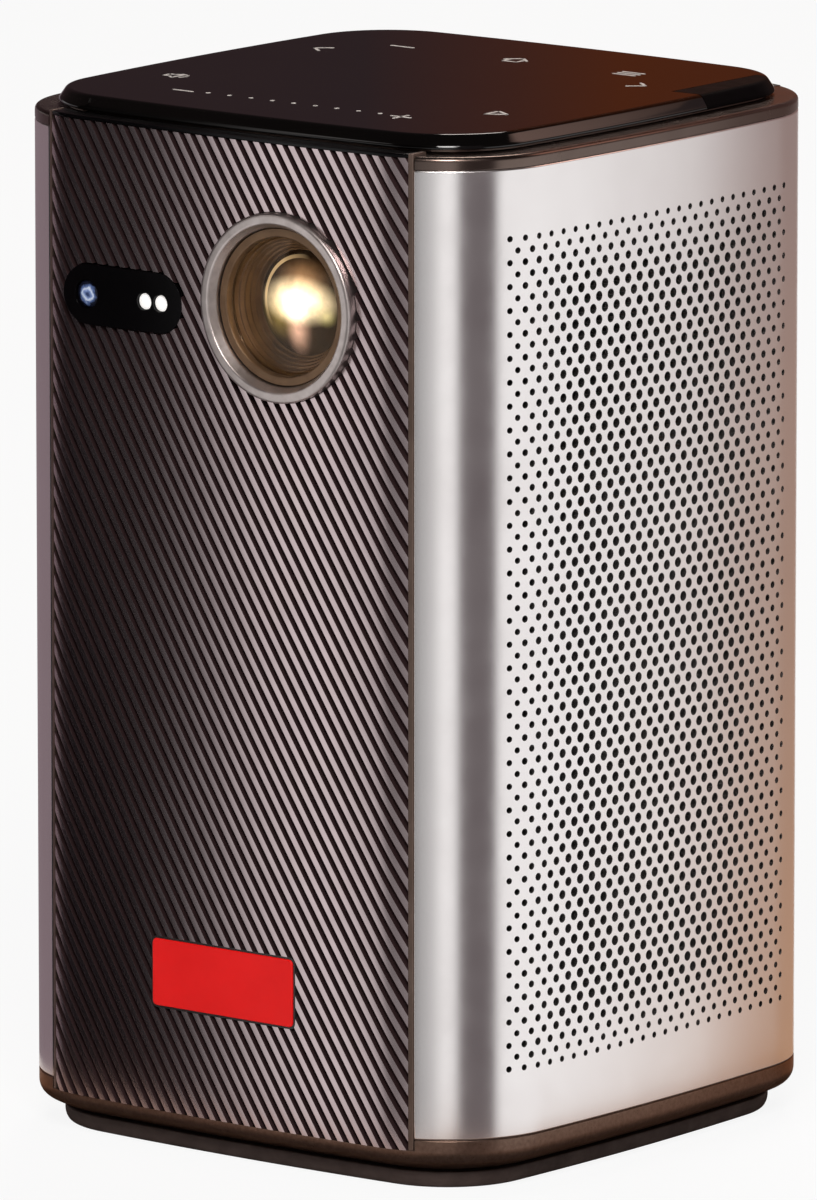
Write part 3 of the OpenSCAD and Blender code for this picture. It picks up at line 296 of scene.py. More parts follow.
# Range that a noise mostly lies in, and how strong its finer steps are
NOISE_LOW, NOISE_HIGH = 0.3, 0.7
NOISE_ROUGHNESS = 0.55
# How much finer the drift of the gloss is than that of the colour, and how strongly a grain shows
GLOSS_RATIO = 3.1
GRAIN_STRENGTH = 0.5


def fill(tree, node, inputs):
    """Sets a node's inputs, by name or place, and links those that are another node's output."""
    for key, value in inputs.items():
        if isinstance(value, bpy.types.NodeSocket):
            tree.links.new(value, node.inputs[key])
        else:
            node.inputs[key].default_value = value
    return node


def add_node(tree, kind, inputs=(), **settings):
    node = tree.nodes.new("ShaderNode" + kind)
    for key, value in settings.items():
        setattr(node, key, value)
    return fill(tree, node, dict(inputs))


def shader(name):
    """A new material: its node tree, its Principled shader and its object coordinates."""
    material = bpy.data.materials.new(name)
    material.use_nodes = True
    tree = material.node_tree
    coords = add_node(tree, "TexCoord")
    return material, tree, tree.nodes["Principled BSDF"], coords.outputs["Object"]


def show(tree, surface):
    """Makes a shader the surface of its material."""
    fill(tree, tree.nodes["Material Output"], {"Surface": surface})


def noise(tree, vector, scale, detail=4):
    inputs = {"Vector": vector, "Scale": scale, "Detail": detail, "Roughness": NOISE_ROUGHNESS}
    return add_node(tree, "TexNoise", inputs).outputs["Fac"]


def calc(tree, operation, *values):
    return add_node(tree, "Math", enumerate(values), operation=operation).outputs[0]


def vector_math(tree, operation, inputs):
    return add_node(tree, "VectorMath", inputs, operation=operation).outputs[0]


def split(tree, vector):
    """The X, Y and Z of a vector."""
    return add_node(tree, "SeparateXYZ", {0: vector}).outputs


def mapped(tree, value, low, high, to_low, to_high):
    """A value carried from one range to another, and held within it."""
    return add_node(tree, "MapRange", enumerate((value, low, high, to_low, to_high))).outputs[0]


def ramp(tree, value, stops):
    """Colours along a value; stops are (place, colour)."""
    node = add_node(tree, "ValToRGB", {"Fac": value})
    elements = node.color_ramp.elements
    while len(elements) < len(stops):
        elements.new(1)
    for element, (place, colour) in zip(elements, stops):
        element.position = place
        element.color = (*colour, 1)
    return node.outputs["Color"]


def drift(tree, coords, scale, dark, light):
    """A colour that wanders between two tones."""
    return ramp(tree, noise(tree, coords, scale), [(NOISE_LOW, dark), (NOISE_HIGH, light)])


def wander(tree, coords, scale, low, high, detail=4):
    """A number that wanders between two values."""
    return mapped(tree, noise(tree, coords, scale, detail), NOISE_LOW, NOISE_HIGH, low, high)


def bump(tree, bsdf, height, strength, distance):
    node = add_node(tree, "Bump", {"Height": height, "Strength": strength, "Distance": distance * MM})
    fill(tree, bsdf, {"Normal": node.outputs["Normal"]})


def mix_shaders(tree, share, first, second):
    return add_node(tree, "MixShader", {0: share, 1: first, 2: second}).outputs[0]


def finish(name, dark, light, scale, rough, grain, depth, metallic=0, shine=0.5, sockets=None):
    """A surface whose colour and gloss drift a little, with a fine grain of real depth.

    scale and grain are in features per metre, rough is a pair, depth is in millimetres, and shine
    is how strongly bare paint mirrors."""
    material, tree, bsdf, coords = shader(name)
    bump(tree, bsdf, noise(tree, coords, grain, 2), GRAIN_STRENGTH, depth)
    inputs = {
        "Base Color": drift(tree, coords, scale, dark, light),
        "Roughness": wander(tree, coords, scale * GLOSS_RATIO, *rough, 3),
        "Metallic": metallic,
        "Specular IOR Level": shine,
    }
    fill(tree, bsdf, {**inputs, **(sockets or {})})
    return material


RIB_PITCH = 1.69
RIB_H = 0.9
RIB_LEAN = math.radians(32.3)
RIB_TONES = ((0.6, 0.49, 0.5), (0.7, 0.575, 0.585))
RIB_ROUGH, GROOVE_ROUGH = 0.25, 0.6
# Painted shade: the colour that the grooves and the ribs' rounded edges take in place of the rib paint
GROOVE_SHADE_TONE = (0.11, 0.062, 0.065, 1)
# Where the painted shade of the groove ends and the rib's paint begins, in pitches from the middle of the
# groove
GROOVE_SHADE_EDGE = (0.245, 0.27)


def rib_material():
    """Dark metallic paint, with painted shade that turns it black towards the floor of the grooves and over
    the ribs' rounded edges.
    """
    material, tree, bsdf, coords = shader("rib_paint")
    at = split(tree, coords)
    x_part = calc(tree, "MULTIPLY", at["X"], math.cos(RIB_LEAN) / MM / RIB_PITCH)
    z_from_mid = calc(tree, "SUBTRACT", at["Z"], PANEL_MID * MM)
    across = calc(tree, "MULTIPLY_ADD", z_from_mid, math.sin(RIB_LEAN) / MM / RIB_PITCH, x_part)
    from_groove = calc(tree, "PINGPONG", across, 0.5)
    # Painted shade: 0 in the grooves and on the ribs' edges, 1 on the ribs' tops
    shade = mapped(tree, from_groove, *GROOVE_SHADE_EDGE, 0, 1)
    tones = {"Factor": shade, "A": GROOVE_SHADE_TONE, "B": drift(tree, coords, 260, *RIB_TONES)}
    mix = add_node(tree, "Mix", tones, data_type="RGBA")
    bump(tree, bsdf, noise(tree, coords, 5000, 2), 0.2, 0.001)
    rough = mapped(tree, shade, 0, 1, GROOVE_ROUGH, RIB_ROUGH)
    fill(tree, bsdf, {"Base Color": mix.outputs["Result"], "Roughness": rough, "Metallic": 1})
    return material


def radius_share(tree, coords, centre, radii):
    """Distance from an axis along Y, as a share of the radii along X and Z."""
    at = split(tree, coords)
    squares = 0
    for axis, middle, r in zip("XZ", centre, radii):
        offset = calc(tree, "SUBTRACT", at[axis], middle * MM)
        share = calc(tree, "MULTIPLY", offset, 1 / (r * MM))
        squares = calc(tree, "MULTIPLY_ADD", share, share, squares)
    return calc(tree, "SQRT", squares)


# Light in the lens: patches as (offset from the axis, radii, colour), white at the core for the lamp's glow
# and brown, olive and amber round it as painted reflections, and a golden arc near the edge that is a
# painted highlight
GLOW_PATCHES = [
    ((-0.3, 0.3), (7.2, 3.8), (3.6, 3, 2)),
    ((-0.6, -0.6), (3.6, 2.8), (1.6, 1.5, 1.2)),
    ((-0.4, -3.4), (2.6, 4.4), (0.85, 0.52, 0.4)),
    ((-3.6, -1.6), (4.2, 4.2), (0.26, 0.19, 0.05)),
    ((0.2, 3), (5.2, 3.6), (0.46, 0.25, 0.12)),
    ((4.2, -1.4), (2, 1.8), (0.5, 0.46, 0.19)),
]
PATCH_CORE, PATCH_FALL = 0.15, 1.6
ARC_SHARE, ARC_HALF_W = 0.88, 0.0352
ARC_SIDE = (-5.4, 3.4)
ARC_HIGHLIGHT_GOLD = (1, 0.72, 0.4)
LIT_BROWNS = ((0.03, 0.018, 0.01), (0.06, 0.036, 0.02))


def glow_material():
    """The lit inner lens: patches of light that add up, the lamp's glow at the core and painted reflections
    round it, and a painted highlight, a bright arc along its upper left edge.
    """
    material, tree, bsdf, coords = shader("lamp_glow")

    def share_from(offset, radii):
        return radius_share(tree, coords, (LENS_X + offset[0], LENS_Z + offset[1]), radii)

    ripple = wander(tree, coords, 330, 0.65, 1.25)
    arc = calc(tree, "COMPARE", share_from((0, 0), (LIT_R, LIT_R)), ARC_SHARE, ARC_HALF_W)
    fade = mapped(tree, share_from(ARC_SIDE, (LIT_R, LIT_R)), 0.35, 1, 0.55, 0)
    light = vector_math(tree, "SCALE", {0: ARC_HIGHLIGHT_GOLD, "Scale": calc(tree, "MULTIPLY", arc, fade)})
    for offset, radii, colour in GLOW_PATCHES:
        core = mapped(tree, share_from(offset, radii), PATCH_CORE, 1, 1, 0)
        patch = calc(tree, "MULTIPLY", calc(tree, "POWER", core, PATCH_FALL), ripple)
        glow = vector_math(tree, "SCALE", {0: colour, "Scale": patch})
        light = vector_math(tree, "ADD", {0: light, 1: glow})
    inputs = {
        "Base Color": drift(tree, coords, 400, *LIT_BROWNS),
        "Roughness": 0.15,
        "Specular IOR Level": 0.15,
        "Emission Color": light,
        "Emission Strength": 1,
    }
    fill(tree, bsdf, inputs)
    return material


# Tones of the camera's glass from its middle to its edge, with a pale blue ring that is a painted
# reflection, and how far its rings stray
EYE_GLINT_TONES = [
    (0, (0.03, 0.05, 0.13)),
    (0.25, (0.22, 0.32, 0.62)),
    (0.42, (0.66, 0.76, 0.93)),
    (0.58, (0.1, 0.16, 0.36)),
    (0.8, (0.006, 0.008, 0.02)),
]
EYE_STRAY = 0.9


def eye_material():
    """Coated camera glass with a painted reflection: pale blue rings that wander a little around a dark
    middle.
    """
    material, tree, bsdf, coords = shader("camera_glass")
    far = radius_share(tree, coords, (CAMERA_X, WINDOW_Z), (CAMERA_R, CAMERA_R))
    stray = calc(tree, "SUBTRACT", noise(tree, coords, 900), 0.5)
    rings = ramp(tree, calc(tree, "MULTIPLY_ADD", stray, EYE_STRAY, far), EYE_GLINT_TONES)
    fill(tree, bsdf, {"Base Color": rings, "Roughness": 0.08, "Coat Weight": 1})
    return material


def glass_material(name, tint, rough, coating=(1, 1, 1)):
    """Clear glass, with its mirror shine dimmed and tinted where it is coated."""
    material, tree, bsdf, coords = shader(name)
    clear = tuple(min(1, c * 1.04) for c in tint)
    inputs = {
        "Base Color": drift(tree, coords, 300, tint, clear),
        "Roughness": wander(tree, coords, 900, *rough),
        "Specular Tint": (*coating, 1),
        "Transmission Weight": 1,
        "IOR": 1.5,
    }
    fill(tree, bsdf, inputs)
    return material


ALUMINIUM = finish(
    "anodised_aluminium", (0.85, 0.81, 0.805), (0.89, 0.855, 0.85), 60, (0.22, 0.27), 14000, 0.003, 1
)
RIBS = rib_material()
RIM_BLACK = finish(
    "rim_black", (0.135, 0.098, 0.084), (0.165, 0.122, 0.105), 90, (0.22, 0.28), 7000, 0.003, 1
)
BASE_BLACK = finish(
    "base_black", (0.145, 0.094, 0.072), (0.205, 0.136, 0.106), 1800, (0.27, 0.34), 6000, 0.006, 0.9,
    0.22, {"Specular Tint": (0.7, 0.5, 0.4, 1)},
)
GLASS_BLACK = finish(
    "top_glass", (0.001, 0.0008, 0.0007), (0.002, 0.0016, 0.0014), 40, (0.06, 0.09), 900, 0.0005
)
DARK_WINDOW = finish(
    "dark_window", (0.001, 0.0008, 0.001), (0.002, 0.0015, 0.002), 70, (0.14, 0.2), 1200, 0.0008, shine=0.2
)
IR_BLACK = finish(
    "infrared_black", (0.001, 0.001, 0.0012), (0.002, 0.0015, 0.002), 120, (0.38, 0.46), 1500, 0.0008,
    shine=0.03,
)
RUBBER = finish(
    "foot_rubber", (0.052, 0.036, 0.032), (0.078, 0.055, 0.049), 300, (0.62, 0.78), 5000, 0.02, shine=0.15
)
TRIM = finish("trim_metal", (0.14, 0.095, 0.075), (0.2, 0.14, 0.115), 150, (0.3, 0.4), 9000, 0.004, 0.8)
BEZEL = finish("bezel_metal", (0.47, 0.41, 0.39), (0.62, 0.55, 0.53), 500, (0.32, 0.42), 9000, 0.004, 1)
# Black barrel whose brown tint is painted light: the warm glow of the lit element on its walls
LAMP_TINTED_BARREL = finish(
    "barrel_black", (0.13, 0.075, 0.042), (0.19, 0.115, 0.065), 400, (0.34, 0.46), 6000, 0.003, 0.7
)
GLOW = glow_material()
LENS_GLASS = glass_material("lens_glass", (0.96, 0.88, 0.76), (0, 0.02), (0.38, 0.27, 0.2))
OPTIC_GLASS = glass_material("optic_glass", (0.88, 0.93, 0.95), (0.01, 0.04))
# White diffusers of the range sensors, with a painted glow: they give off light though they are no lamps
GLOWING_WHITE_SPOT = finish(
    "white_diffuser_painted_glow", (0.86, 0.86, 0.85), (0.92, 0.92, 0.91), 900, (0.35, 0.45), 6000, 0.004,
    sockets={"Emission Color": (1, 0.98, 0.95, 1), "Emission Strength": 0.35},
)
CAMERA_GLASS = eye_material()
BADGE = finish(
    "badge_red", (0.76, 0.003, 0.003), (0.84, 0.006, 0.006), 120, (0.4, 0.48), 5000, 0.006, shine=0.25
)
BLACK_PLASTIC = finish(
    "black_plastic", (0.013, 0.012, 0.012), (0.022, 0.02, 0.019), 200, (0.42, 0.52), 5200, 0.02
)
BUTTON_GREY = finish(
    "button_grey", (0.045, 0.042, 0.041), (0.06, 0.056, 0.054), 300, (0.32, 0.4), 6000, 0.006
)
INK = finish("touch_ink", (0.62, 0.58, 0.55), (0.72, 0.68, 0.65), 800, (0.5, 0.6), 6000, 0.003)
STEEL = finish("steel", (0.5, 0.5, 0.51), (0.6, 0.6, 0.61), 500, (0.25, 0.38), 8000, 0.004, 1)
SCREW_BLACK = finish(
    "blackened_steel", (0.055, 0.052, 0.05), (0.085, 0.08, 0.077), 700, (0.28, 0.4), 8000, 0.004, 1
)
BRASS = finish("brass", (0.62, 0.42, 0.16), (0.74, 0.52, 0.22), 400, (0.22, 0.34), 7000, 0.006, 1)
COPPER = finish("copper", (0.62, 0.28, 0.14), (0.75, 0.36, 0.2), 350, (0.25, 0.36), 6000, 0.006, 1)
CAST = finish("cast_metal", (0.13, 0.13, 0.14), (0.19, 0.19, 0.2), 300, (0.42, 0.55), 4000, 0.03, 0.9)
SINK = finish("sink_metal", (0.52, 0.53, 0.54), (0.62, 0.63, 0.64), 250, (0.32, 0.42), 7000, 0.006, 1)
CHASSIS = finish("chassis_plastic", (0.02, 0.02, 0.02), (0.032, 0.031, 0.03), 220, (0.5, 0.62), 4500, 0.03)
BOARD = finish("board_green", (0.012, 0.075, 0.035), (0.02, 0.11, 0.05), 900, (0.3, 0.42), 9000, 0.01)
LAMP_WHITE = finish("lamp_white", (0.72, 0.7, 0.62), (0.8, 0.78, 0.7), 900, (0.35, 0.5), 6000, 0.006)
CELLS = finish("cell_blue", (0.03, 0.16, 0.34), (0.05, 0.22, 0.44), 160, (0.3, 0.42), 3500, 0.006)
MAGNET = finish("magnet_metal", (0.34, 0.35, 0.36), (0.44, 0.45, 0.46), 350, (0.35, 0.5), 5000, 0.02, 1)
CONE = finish("cone_paper", (0.03, 0.028, 0.027), (0.05, 0.046, 0.044), 1500, (0.7, 0.85), 7000, 0.05)
CONNECTOR = finish(
    "connector_metal", (0.5, 0.5, 0.51), (0.62, 0.62, 0.63), 600, (0.22, 0.34), 8000, 0.004, 1
)


# Side shells: aluminium sheets with staggered holes that shrink towards the edges of the field

HOLE_ROWS, HOLE_COLUMNS = 71, 25
HOLE_STEP, ROW_STEP = 2.5, 1.63
HOLE_Z0 = 17
# Middle of the field, as arc length behind the middle of the face
FIELD_S = -2
HOLE_R, EDGE_HOLE_R = 0.7, 0.44
GROWING = 5
EDGE_R = 0.3
# Points across the plain sheet beside the field, and above and below it
BESIDE, ABOVE = 14, 3


def hole_radius(row, column, columns):
    """Holes grow over the outer rows and columns of the field."""
    steps_in = min(row, HOLE_ROWS - 1 - row, column, columns - 1 - column)
    return EDGE_HOLE_R + (HOLE_R - EDGE_HOLE_R) * min(1, steps_in / GROWING)


def hole_cells():
    """Rims of the holes and the edges of their cells, 12 points each, as (arc length, z)."""
    angle = np.radians(np.arange(12) * 30)
    edge_s = np.array([2, 2, 1, 0, -1, -2, -2, -2, -1, 0, 1, 2]) * HOLE_STEP / 4
    edge_z = np.array([0, 1, 1, 1, 1, 1, 0, -1, -1, -1, -1, -1]) * ROW_STEP / 2
    rims, edges, blanks = [], [], []
    for row in range(HOLE_ROWS):
        z = HOLE_Z0 + row * ROW_STEP
        columns = HOLE_COLUMNS - row % 2
        for column in range(columns):
            s = FIELD_S + (column - (columns - 1) / 2) * HOLE_STEP
            r = hole_radius(row, column, columns)
            rims.append(r * around(angle) + [s, z])
            edges.append(np.column_stack([s + edge_s, z + edge_z]))
        if row % 2:
            blanks.append(z)
    return np.array(rims), np.array(edges), blanks


def perforated_shell(name):
    """The right-hand sheet: its field of holes, the plain sheet around it and its eased edges."""
    rims, edges, blanks = hole_cells()
    reach = HOLE_COLUMNS * HOLE_STEP / 2
    field_s = FIELD_S + np.linspace(-reach, reach, HOLE_COLUMNS * 4 + 1)
    low, high = HOLE_Z0 - ROW_STEP / 2, HOLE_Z0 + (HOLE_ROWS - 0.5) * ROW_STEP
    field_z = np.linspace(low, high, HOLE_ROWS * 2 + 1)
    ease = np.radians([0, 30, 60, 90])
    drop, slip = EDGE_R * (1 - np.cos(ease)), EDGE_R * (1 - np.sin(ease))
    end = [math.acos((SHELL_X - CORNER_C) / (CORNER_R - inset)) for inset in (0, SHELL_WALL)]

    def beside(first):
        """Angles from the field to the end of the sheet, on its outer and on its inner face."""
        plain = np.linspace(first, end[0] - EDGE_R / CORNER_R, BESIDE + 2)[1:-1]
        outer = np.concatenate([plain, end[0] - slip / CORNER_R])
        return outer, first + (outer - first) * (end[1] - first) / (end[0] - first)

    rear, rear_in = beside(arc_angle(field_s[-1]))
    front, front_in = beside(-arc_angle(field_s[0]))
    column_inset = np.concatenate([np.zeros(BESIDE), drop])
    angles = np.concatenate([-front[::-1], arc_angle(field_s), rear])
    angles_in = np.concatenate([-front_in[::-1], arc_angle(field_s), rear_in])
    insets = np.concatenate([column_inset[::-1], np.zeros(len(field_s)), column_inset])
    above = np.linspace(high, SHELL_Z1 - EDGE_R, ABOVE + 2)[1:-1]
    below = np.linspace(SHELL_Z0 + EDGE_R, low, ABOVE + 2)[1:-1]
    heights = np.concatenate([(SHELL_Z0 + slip)[::-1], below, field_z, above, SHELL_Z1 - slip])
    row_inset = np.concatenate([drop[::-1], np.zeros(2 * ABOVE + len(field_z)), drop])

    def sheet(angle, inset, extras):
        points = [
            np.column_stack([plan(angle, inset + extra), np.full(len(angle), z)])
            for z, extra in zip(heights, extras)
        ]
        return np.array(points)

    outer = sheet(angles, insets, row_inset)
    inner = sheet(angles_in, SHELL_WALL, np.zeros(len(heights)))
    side, base = len(front), len(drop) + len(below)
    rows, columns = np.meshgrid(np.arange(len(heights) - 1), np.arange(len(angles) - 1), indexing="ij")
    in_field = (rows >= base) & (rows < base + len(field_z) - 1)
    in_field &= (columns >= side) & (columns < side + len(field_s) - 1)
    plain = ~in_field.ravel()

    def lift(points, inset):
        return np.concatenate([plan(arc_angle(points[..., 0]), inset), points[..., 1:]], -1)

    quads = [grid_quads(outer)[plain], grid_quads(inner)[plain]]
    half_cell = np.array([0, 0.25, 0.5]) * HOLE_STEP + reach - HOLE_STEP / 2
    for z in blanks:
        for s in (half_cell, -half_cell[::-1]):
            cell_s, cell_z = np.meshgrid(FIELD_S + s, z + np.array([-0.5, 0, 0.5]) * ROW_STEP)
            cell = np.stack([cell_s, cell_z], -1)
            quads += [grid_quads(lift(cell, inset)) for inset in (0, SHELL_WALL)]
    outer_rim, inner_rim = lift(rims, 0), lift(rims, SHELL_WALL)
    outer_edge, inner_edge = lift(edges, 0), lift(edges, SHELL_WALL)
    for a, b in ((outer_rim, outer_edge), (inner_rim, inner_edge), (outer_rim, inner_rim)):
        ring = np.stack([a, b, np.roll(b, -1, 1), np.roll(a, -1, 1)], 2)
        quads.append(ring.reshape(-1, 4, 3))
    for edge in (np.s_[0], np.s_[-1], np.s_[:, 0], np.s_[:, -1]):
        quads.append(grid_quads([outer[edge], inner[edge]]))
    return raw_object(name, np.concatenate(quads))


right_shell = perforated_shell("right_shell")
left_shell = joined("left_shell", [right_shell.copy()])
for vertex in left_shell.data.vertices:
    vertex.co.x = -vertex.co.x
left_shell.data.flip_normals()
dress(right_shell, ALUMINIUM, "right_side_shell", sharp=40)
dress(left_shell, ALUMINIUM, "left_side_shell", sharp=40)


# Front panel: rounded ribs that lean over the bowed face, with the openings cut through them

# Foot of a black cap over the ribs' top ends, painted shade where the glass casts its shadow
SHADE_CAP_Z = PANEL_Z1 - 0.6
# One rib as (place across it, depth below the face)
RIB_PROFILE = [
    (-RIB_PITCH / 2, RIB_H), (-0.56, RIB_H), (-0.5, 0.76), (-0.46, 0.12), (-0.43, 0.015), (0, 0),
    (0.43, 0.015), (0.46, 0.12), (0.5, 0.76), (0.56, RIB_H),
]
RIB_POINTS = 44
FRONT_CUT = (-50, -30)


def rib_lines():
    """Lines along the ribs as (place across the panel, depth below the face)."""
    span = PANEL_HALF * math.cos(RIB_LEAN) + (PANEL_Z1 - PANEL_MID) * math.sin(RIB_LEAN)
    turn = PANEL_HALF * math.cos(RIB_LEAN) - (PANEL_Z1 - PANEL_MID) * math.sin(RIB_LEAN)
    count = int(span / RIB_PITCH) + 1
    lines = [((i + 0.5) * RIB_PITCH + u, d) for i in range(-count - 1, count + 1) for u, d in RIB_PROFILE]
    us, depths = np.array(sorted(lines)).T
    extra = np.array([-span, turn, -turn, span])
    places = np.unique(np.round(np.concatenate([us[np.abs(us) < span - 0.02], extra]), 5))
    return places, np.interp(places, us, depths)


def panel_sheet(u, depth):
    """A sheet of points over the front panel, line by line along the ribs."""
    c, s, tall = math.cos(RIB_LEAN), math.sin(RIB_LEAN), (PANEL_Z1 - PANEL_Z0) / 2
    start = np.maximum((u * c - PANEL_HALF) / s, (-tall - u * s) / c)
    stop = np.minimum((u * c + PANEL_HALF) / s, (tall - u * s) / c)
    share = 0.5 - 0.5 * np.cos(np.linspace(0, np.pi, RIB_POINTS))
    along = start[:, None] + np.maximum(stop - start, 0)[:, None] * share
    x = u[:, None] * c - along * s
    z = PANEL_MID + u[:, None] * s + along * c
    return np.stack([x, -face_depth(x, np.broadcast_to(depth[:, None], x.shape)), z], -1)


def window_outline(grow):
    return pill(WINDOW_X, WINDOW_Z, WINDOW_W + 2 * grow, WINDOW_H + 2 * grow)


def badge_outline(grow):
    return rectangle(0, BADGE_Z, BADGE_W + 2 * grow, BADGE_H + 2 * grow, BADGE_R + grow)


def cap_plan(grow):
    return plan_strip(-PANEL_HALF - grow, PANEL_HALF + grow, -grow, PANEL_D + grow, -1)


def front_panel():
    u, depth = rib_lines()
    face, back = panel_sheet(u, depth), panel_sheet(u, np.full(len(u), PANEL_D))
    quads = [grid_quads(face), grid_quads(back)]
    for edge in (np.s_[0, :], np.s_[-1, :], np.s_[:, 0], np.s_[:, -1]):
        quads.append(grid_quads([face[edge], back[edge]]))
    panel = raw_object("ribbed_front", np.concatenate(quads))
    cutters = [
        prism_y("lens_hole", circle(LENS_X, LENS_Z, LENS_HOLE_R, 96), *FRONT_CUT),
        prism_y("window_hole", window_outline(SEAT_GAP), *FRONT_CUT),
        prism_y("badge_hole", badge_outline(BADGE_BORDER), FRONT_CUT[0], BADGE_BACK_Y),
        prism_z("cap_seat", cap_plan(1), SHADE_CAP_Z, PANEL_Z1 + 1),
    ]
    return cut(panel, cutters)


dress(front_panel(), RIBS, "front_panel", sharp=42)
# Black cap along the top of the ribs: painted shade under the glass
dress(soften(prism_z("front_shade_cap", cap_plan(0), SHADE_CAP_Z, PANEL_Z1), 0.2), DARK_WINDOW)


# Trim strips, rim, glass top and its infrared window

TRIM_GAP = 0.02
RIM_TOP, RIM_REACH = 142.5, 12
# Insets of the glass edge, of the top of its bevel, and of the parts that other pieces cover
GLASS_INSET, BEVEL_INSET, CORE_INSET = 3.3, 4.4, 14
GLASS_EDGE_H = 0.4
IR_X, IR_Y0, IR_Y1 = 33.5, 14, 33


def panel_pockets(z0, z1):
    """Room where the front and rear panels pass the rim and the base."""
    reach = SHELL_X + SEAT_GAP
    return [
        prism_z("pocket", plan_strip(-reach, reach, -2, PANEL_D + SEAT_GAP, side, 40), z0, z1)
        for side in (-1, 1)
    ]


for side, name in ((1, "right_trim"), (-1, "left_trim")):
    x0, x1 = sorted((side * PANEL_HALF, side * (SHELL_X - TRIM_GAP)))
    strip = prism_z(name, plan_strip(x0, x1, 0, PANEL_D, -1, 6), PANEL_Z0, PANEL_Z1)
    soften(strip, 0.14, 60)
    dress(strip, TRIM, name + "_strip")

rim_profile = [
    (0, SHELL_Z1, 0.2), (0, RIM_TOP, 0.75), (BEVEL_INSET, RIM_TOP, 0.15), (BEVEL_INSET, GLASS_Z),
    (RIM_REACH, GLASS_Z), (RIM_REACH, SHELL_Z1),
]
rim = outline_sweep("rim_band", rounded(rim_profile, 6))
cut(rim, panel_pockets(SHELL_Z1 - 1, GLASS_Z + 1))
dress(rim, RIM_BLACK, "top_rim")


def glass_blank(name):
    edge = [
        (CORE_INSET, GLASS_Z), (GLASS_INSET, GLASS_Z, 0.12), (GLASS_INSET, GLASS_Z + GLASS_EDGE_H, 0.3),
        (BEVEL_INSET, BODY_H, 0.5), (CORE_INSET, BODY_H),
    ]
    return outline_sweep(name, rounded(edge, 6), caps=True)


def ir_block(gap):
    x0, x1, y0, y1 = IR_X - gap, HALF + 2, IR_Y0 - gap, IR_Y1 + gap
    return prism_z("ir_block", [(x0, y0), (x1, y0), (x1, y1), (x0, y1)], GLASS_Z - 1, BODY_H + 1)


glass = cut(glass_blank("glass_top"), [ir_block(SEAT_GAP)])
dress(glass, GLASS_BLACK, "touch_plate")
ir_window = cut(glass_blank("ir_lens"), [ir_block(0)], "INTERSECT")
dress(ir_window, IR_BLACK, "ir_window")


# Touch marks: plain symbols printed on the glass, as strokes of (x, y) points

INK_W, INK_H, INK_SINK = 0.45, 0.03, 0.01
ARROW = [(1.4, 1.6), (-0.6, 0), (1.4, -1.6)]
HORN = [(-1.6, 0.7), (-0.6, 0.7), (0.6, 1.6), (0.6, -1.6), (-0.6, -0.7), (-1.6, -0.7), (-1.6, 0.7)]
MARKS = [
    ((-29.5, 15), [ARROW]),
    ((-21.2, 23.5), [[(-1.9, 0), (1.9, 0)]]),
    ((-1, 23.5), [[(-1.9, -0.2), (0, 1.5), (1.9, -0.2)], [(-1.2, 0), (-1.2, -1.6), (1.2, -1.6), (1.2, 0)]]),
    ((19, 23), [[(-1.8, y), (1.8, y)] for y in (1.1, 0, -1.1)]),
    ((27, 15.5), [[(-x, y) for x, y in ARROW]]),
    ((-29, -17), [HORN, [(1.5, 0.9), (1.8, 0), (1.5, -0.9)]]),
    ((-19.5, -27), [[(-1.6, 0), (1.6, 0)]]),
    ((18.5, -27), [[(-1.6, 0), (1.6, 0)], [(0, -1.6), (0, 1.6)]]),
    ((27, -16.5), [[(-1.1, 1.5), (1.5, 0), (-1.1, -1.5), (-1.1, 1.5)]]),
]
DOT_R, DOT_Y = 0.35, -26.5
DOT_XS = np.linspace(-15.5, 14.5, 9)


def ink(points):
    """A flat mark that stands a hair proud of the glass."""
    return prism_z("mark", points, BODY_H - INK_SINK, BODY_H + INK_H)


def stroke_bar(p, q):
    """A flat bar with round ends from p to q, lying on the glass."""
    turn = math.atan2(*(q - p)[::-1])
    a = np.linspace(-np.pi / 2, np.pi / 2, 9)
    ends = [(q, turn + a), (p, turn + np.pi + a)]
    return ink(np.concatenate([c + INK_W / 2 * around(t) for c, t in ends]))


def touch_marks():
    pieces = [ink(circle(x, DOT_Y, DOT_R, 20)) for x in DOT_XS]
    for place, strokes in MARKS:
        for stroke in strokes:
            points = np.array(stroke, float) + place
            pieces += [stroke_bar(p, q) for p, q in zip(points[:-1], points[1:])]
    return joined("touch_marks", pieces)


dress(touch_marks(), INK)


# Base: a flush band and a chamfer over a groove, and the rubber foot with its soft lip

BAND_Z = 4.4
CHAMFER_INSET, CHAMFER_Z = 3, 3.1
LIP_INSET, LIP_Z = 3.7, 2.85
GROOVE_INSET = 5.6
TRAY_INSET = 3.4
INSERT_HOLE_R = 4.55
BASE_CUT = (1, 9)
FOOT_INSET, FOOT_LIP_Z, FOOT_WAIST_Z = 3.6, 2.4, 1.1
FOOT_SOLE_INSET, FOOT_SEAT_INSET = 4.2, 5.3

base_profile = [
    (GROOVE_INSET, FOOT_H), (GROOVE_INSET, LIP_Z, 0.1), (LIP_INSET, LIP_Z, 0.3),
    (CHAMFER_INSET, CHAMFER_Z, 0.3), (0, BAND_Z, 1.5), (0, SHELL_Z0, 0.2), (TRAY_INSET, SHELL_Z0),
    (TRAY_INSET, PANEL_Z0),
]
base = outline_sweep("base_shell", rounded(base_profile, 8), caps=True)
insert_hole = prism_z("insert_hole", circle(0, 0, INSERT_HOLE_R), *BASE_CUT)
cut(base, panel_pockets(PANEL_Z0, BASE_CUT[1]) + [insert_hole])
dress(base, BASE_BLACK, "base_frame")

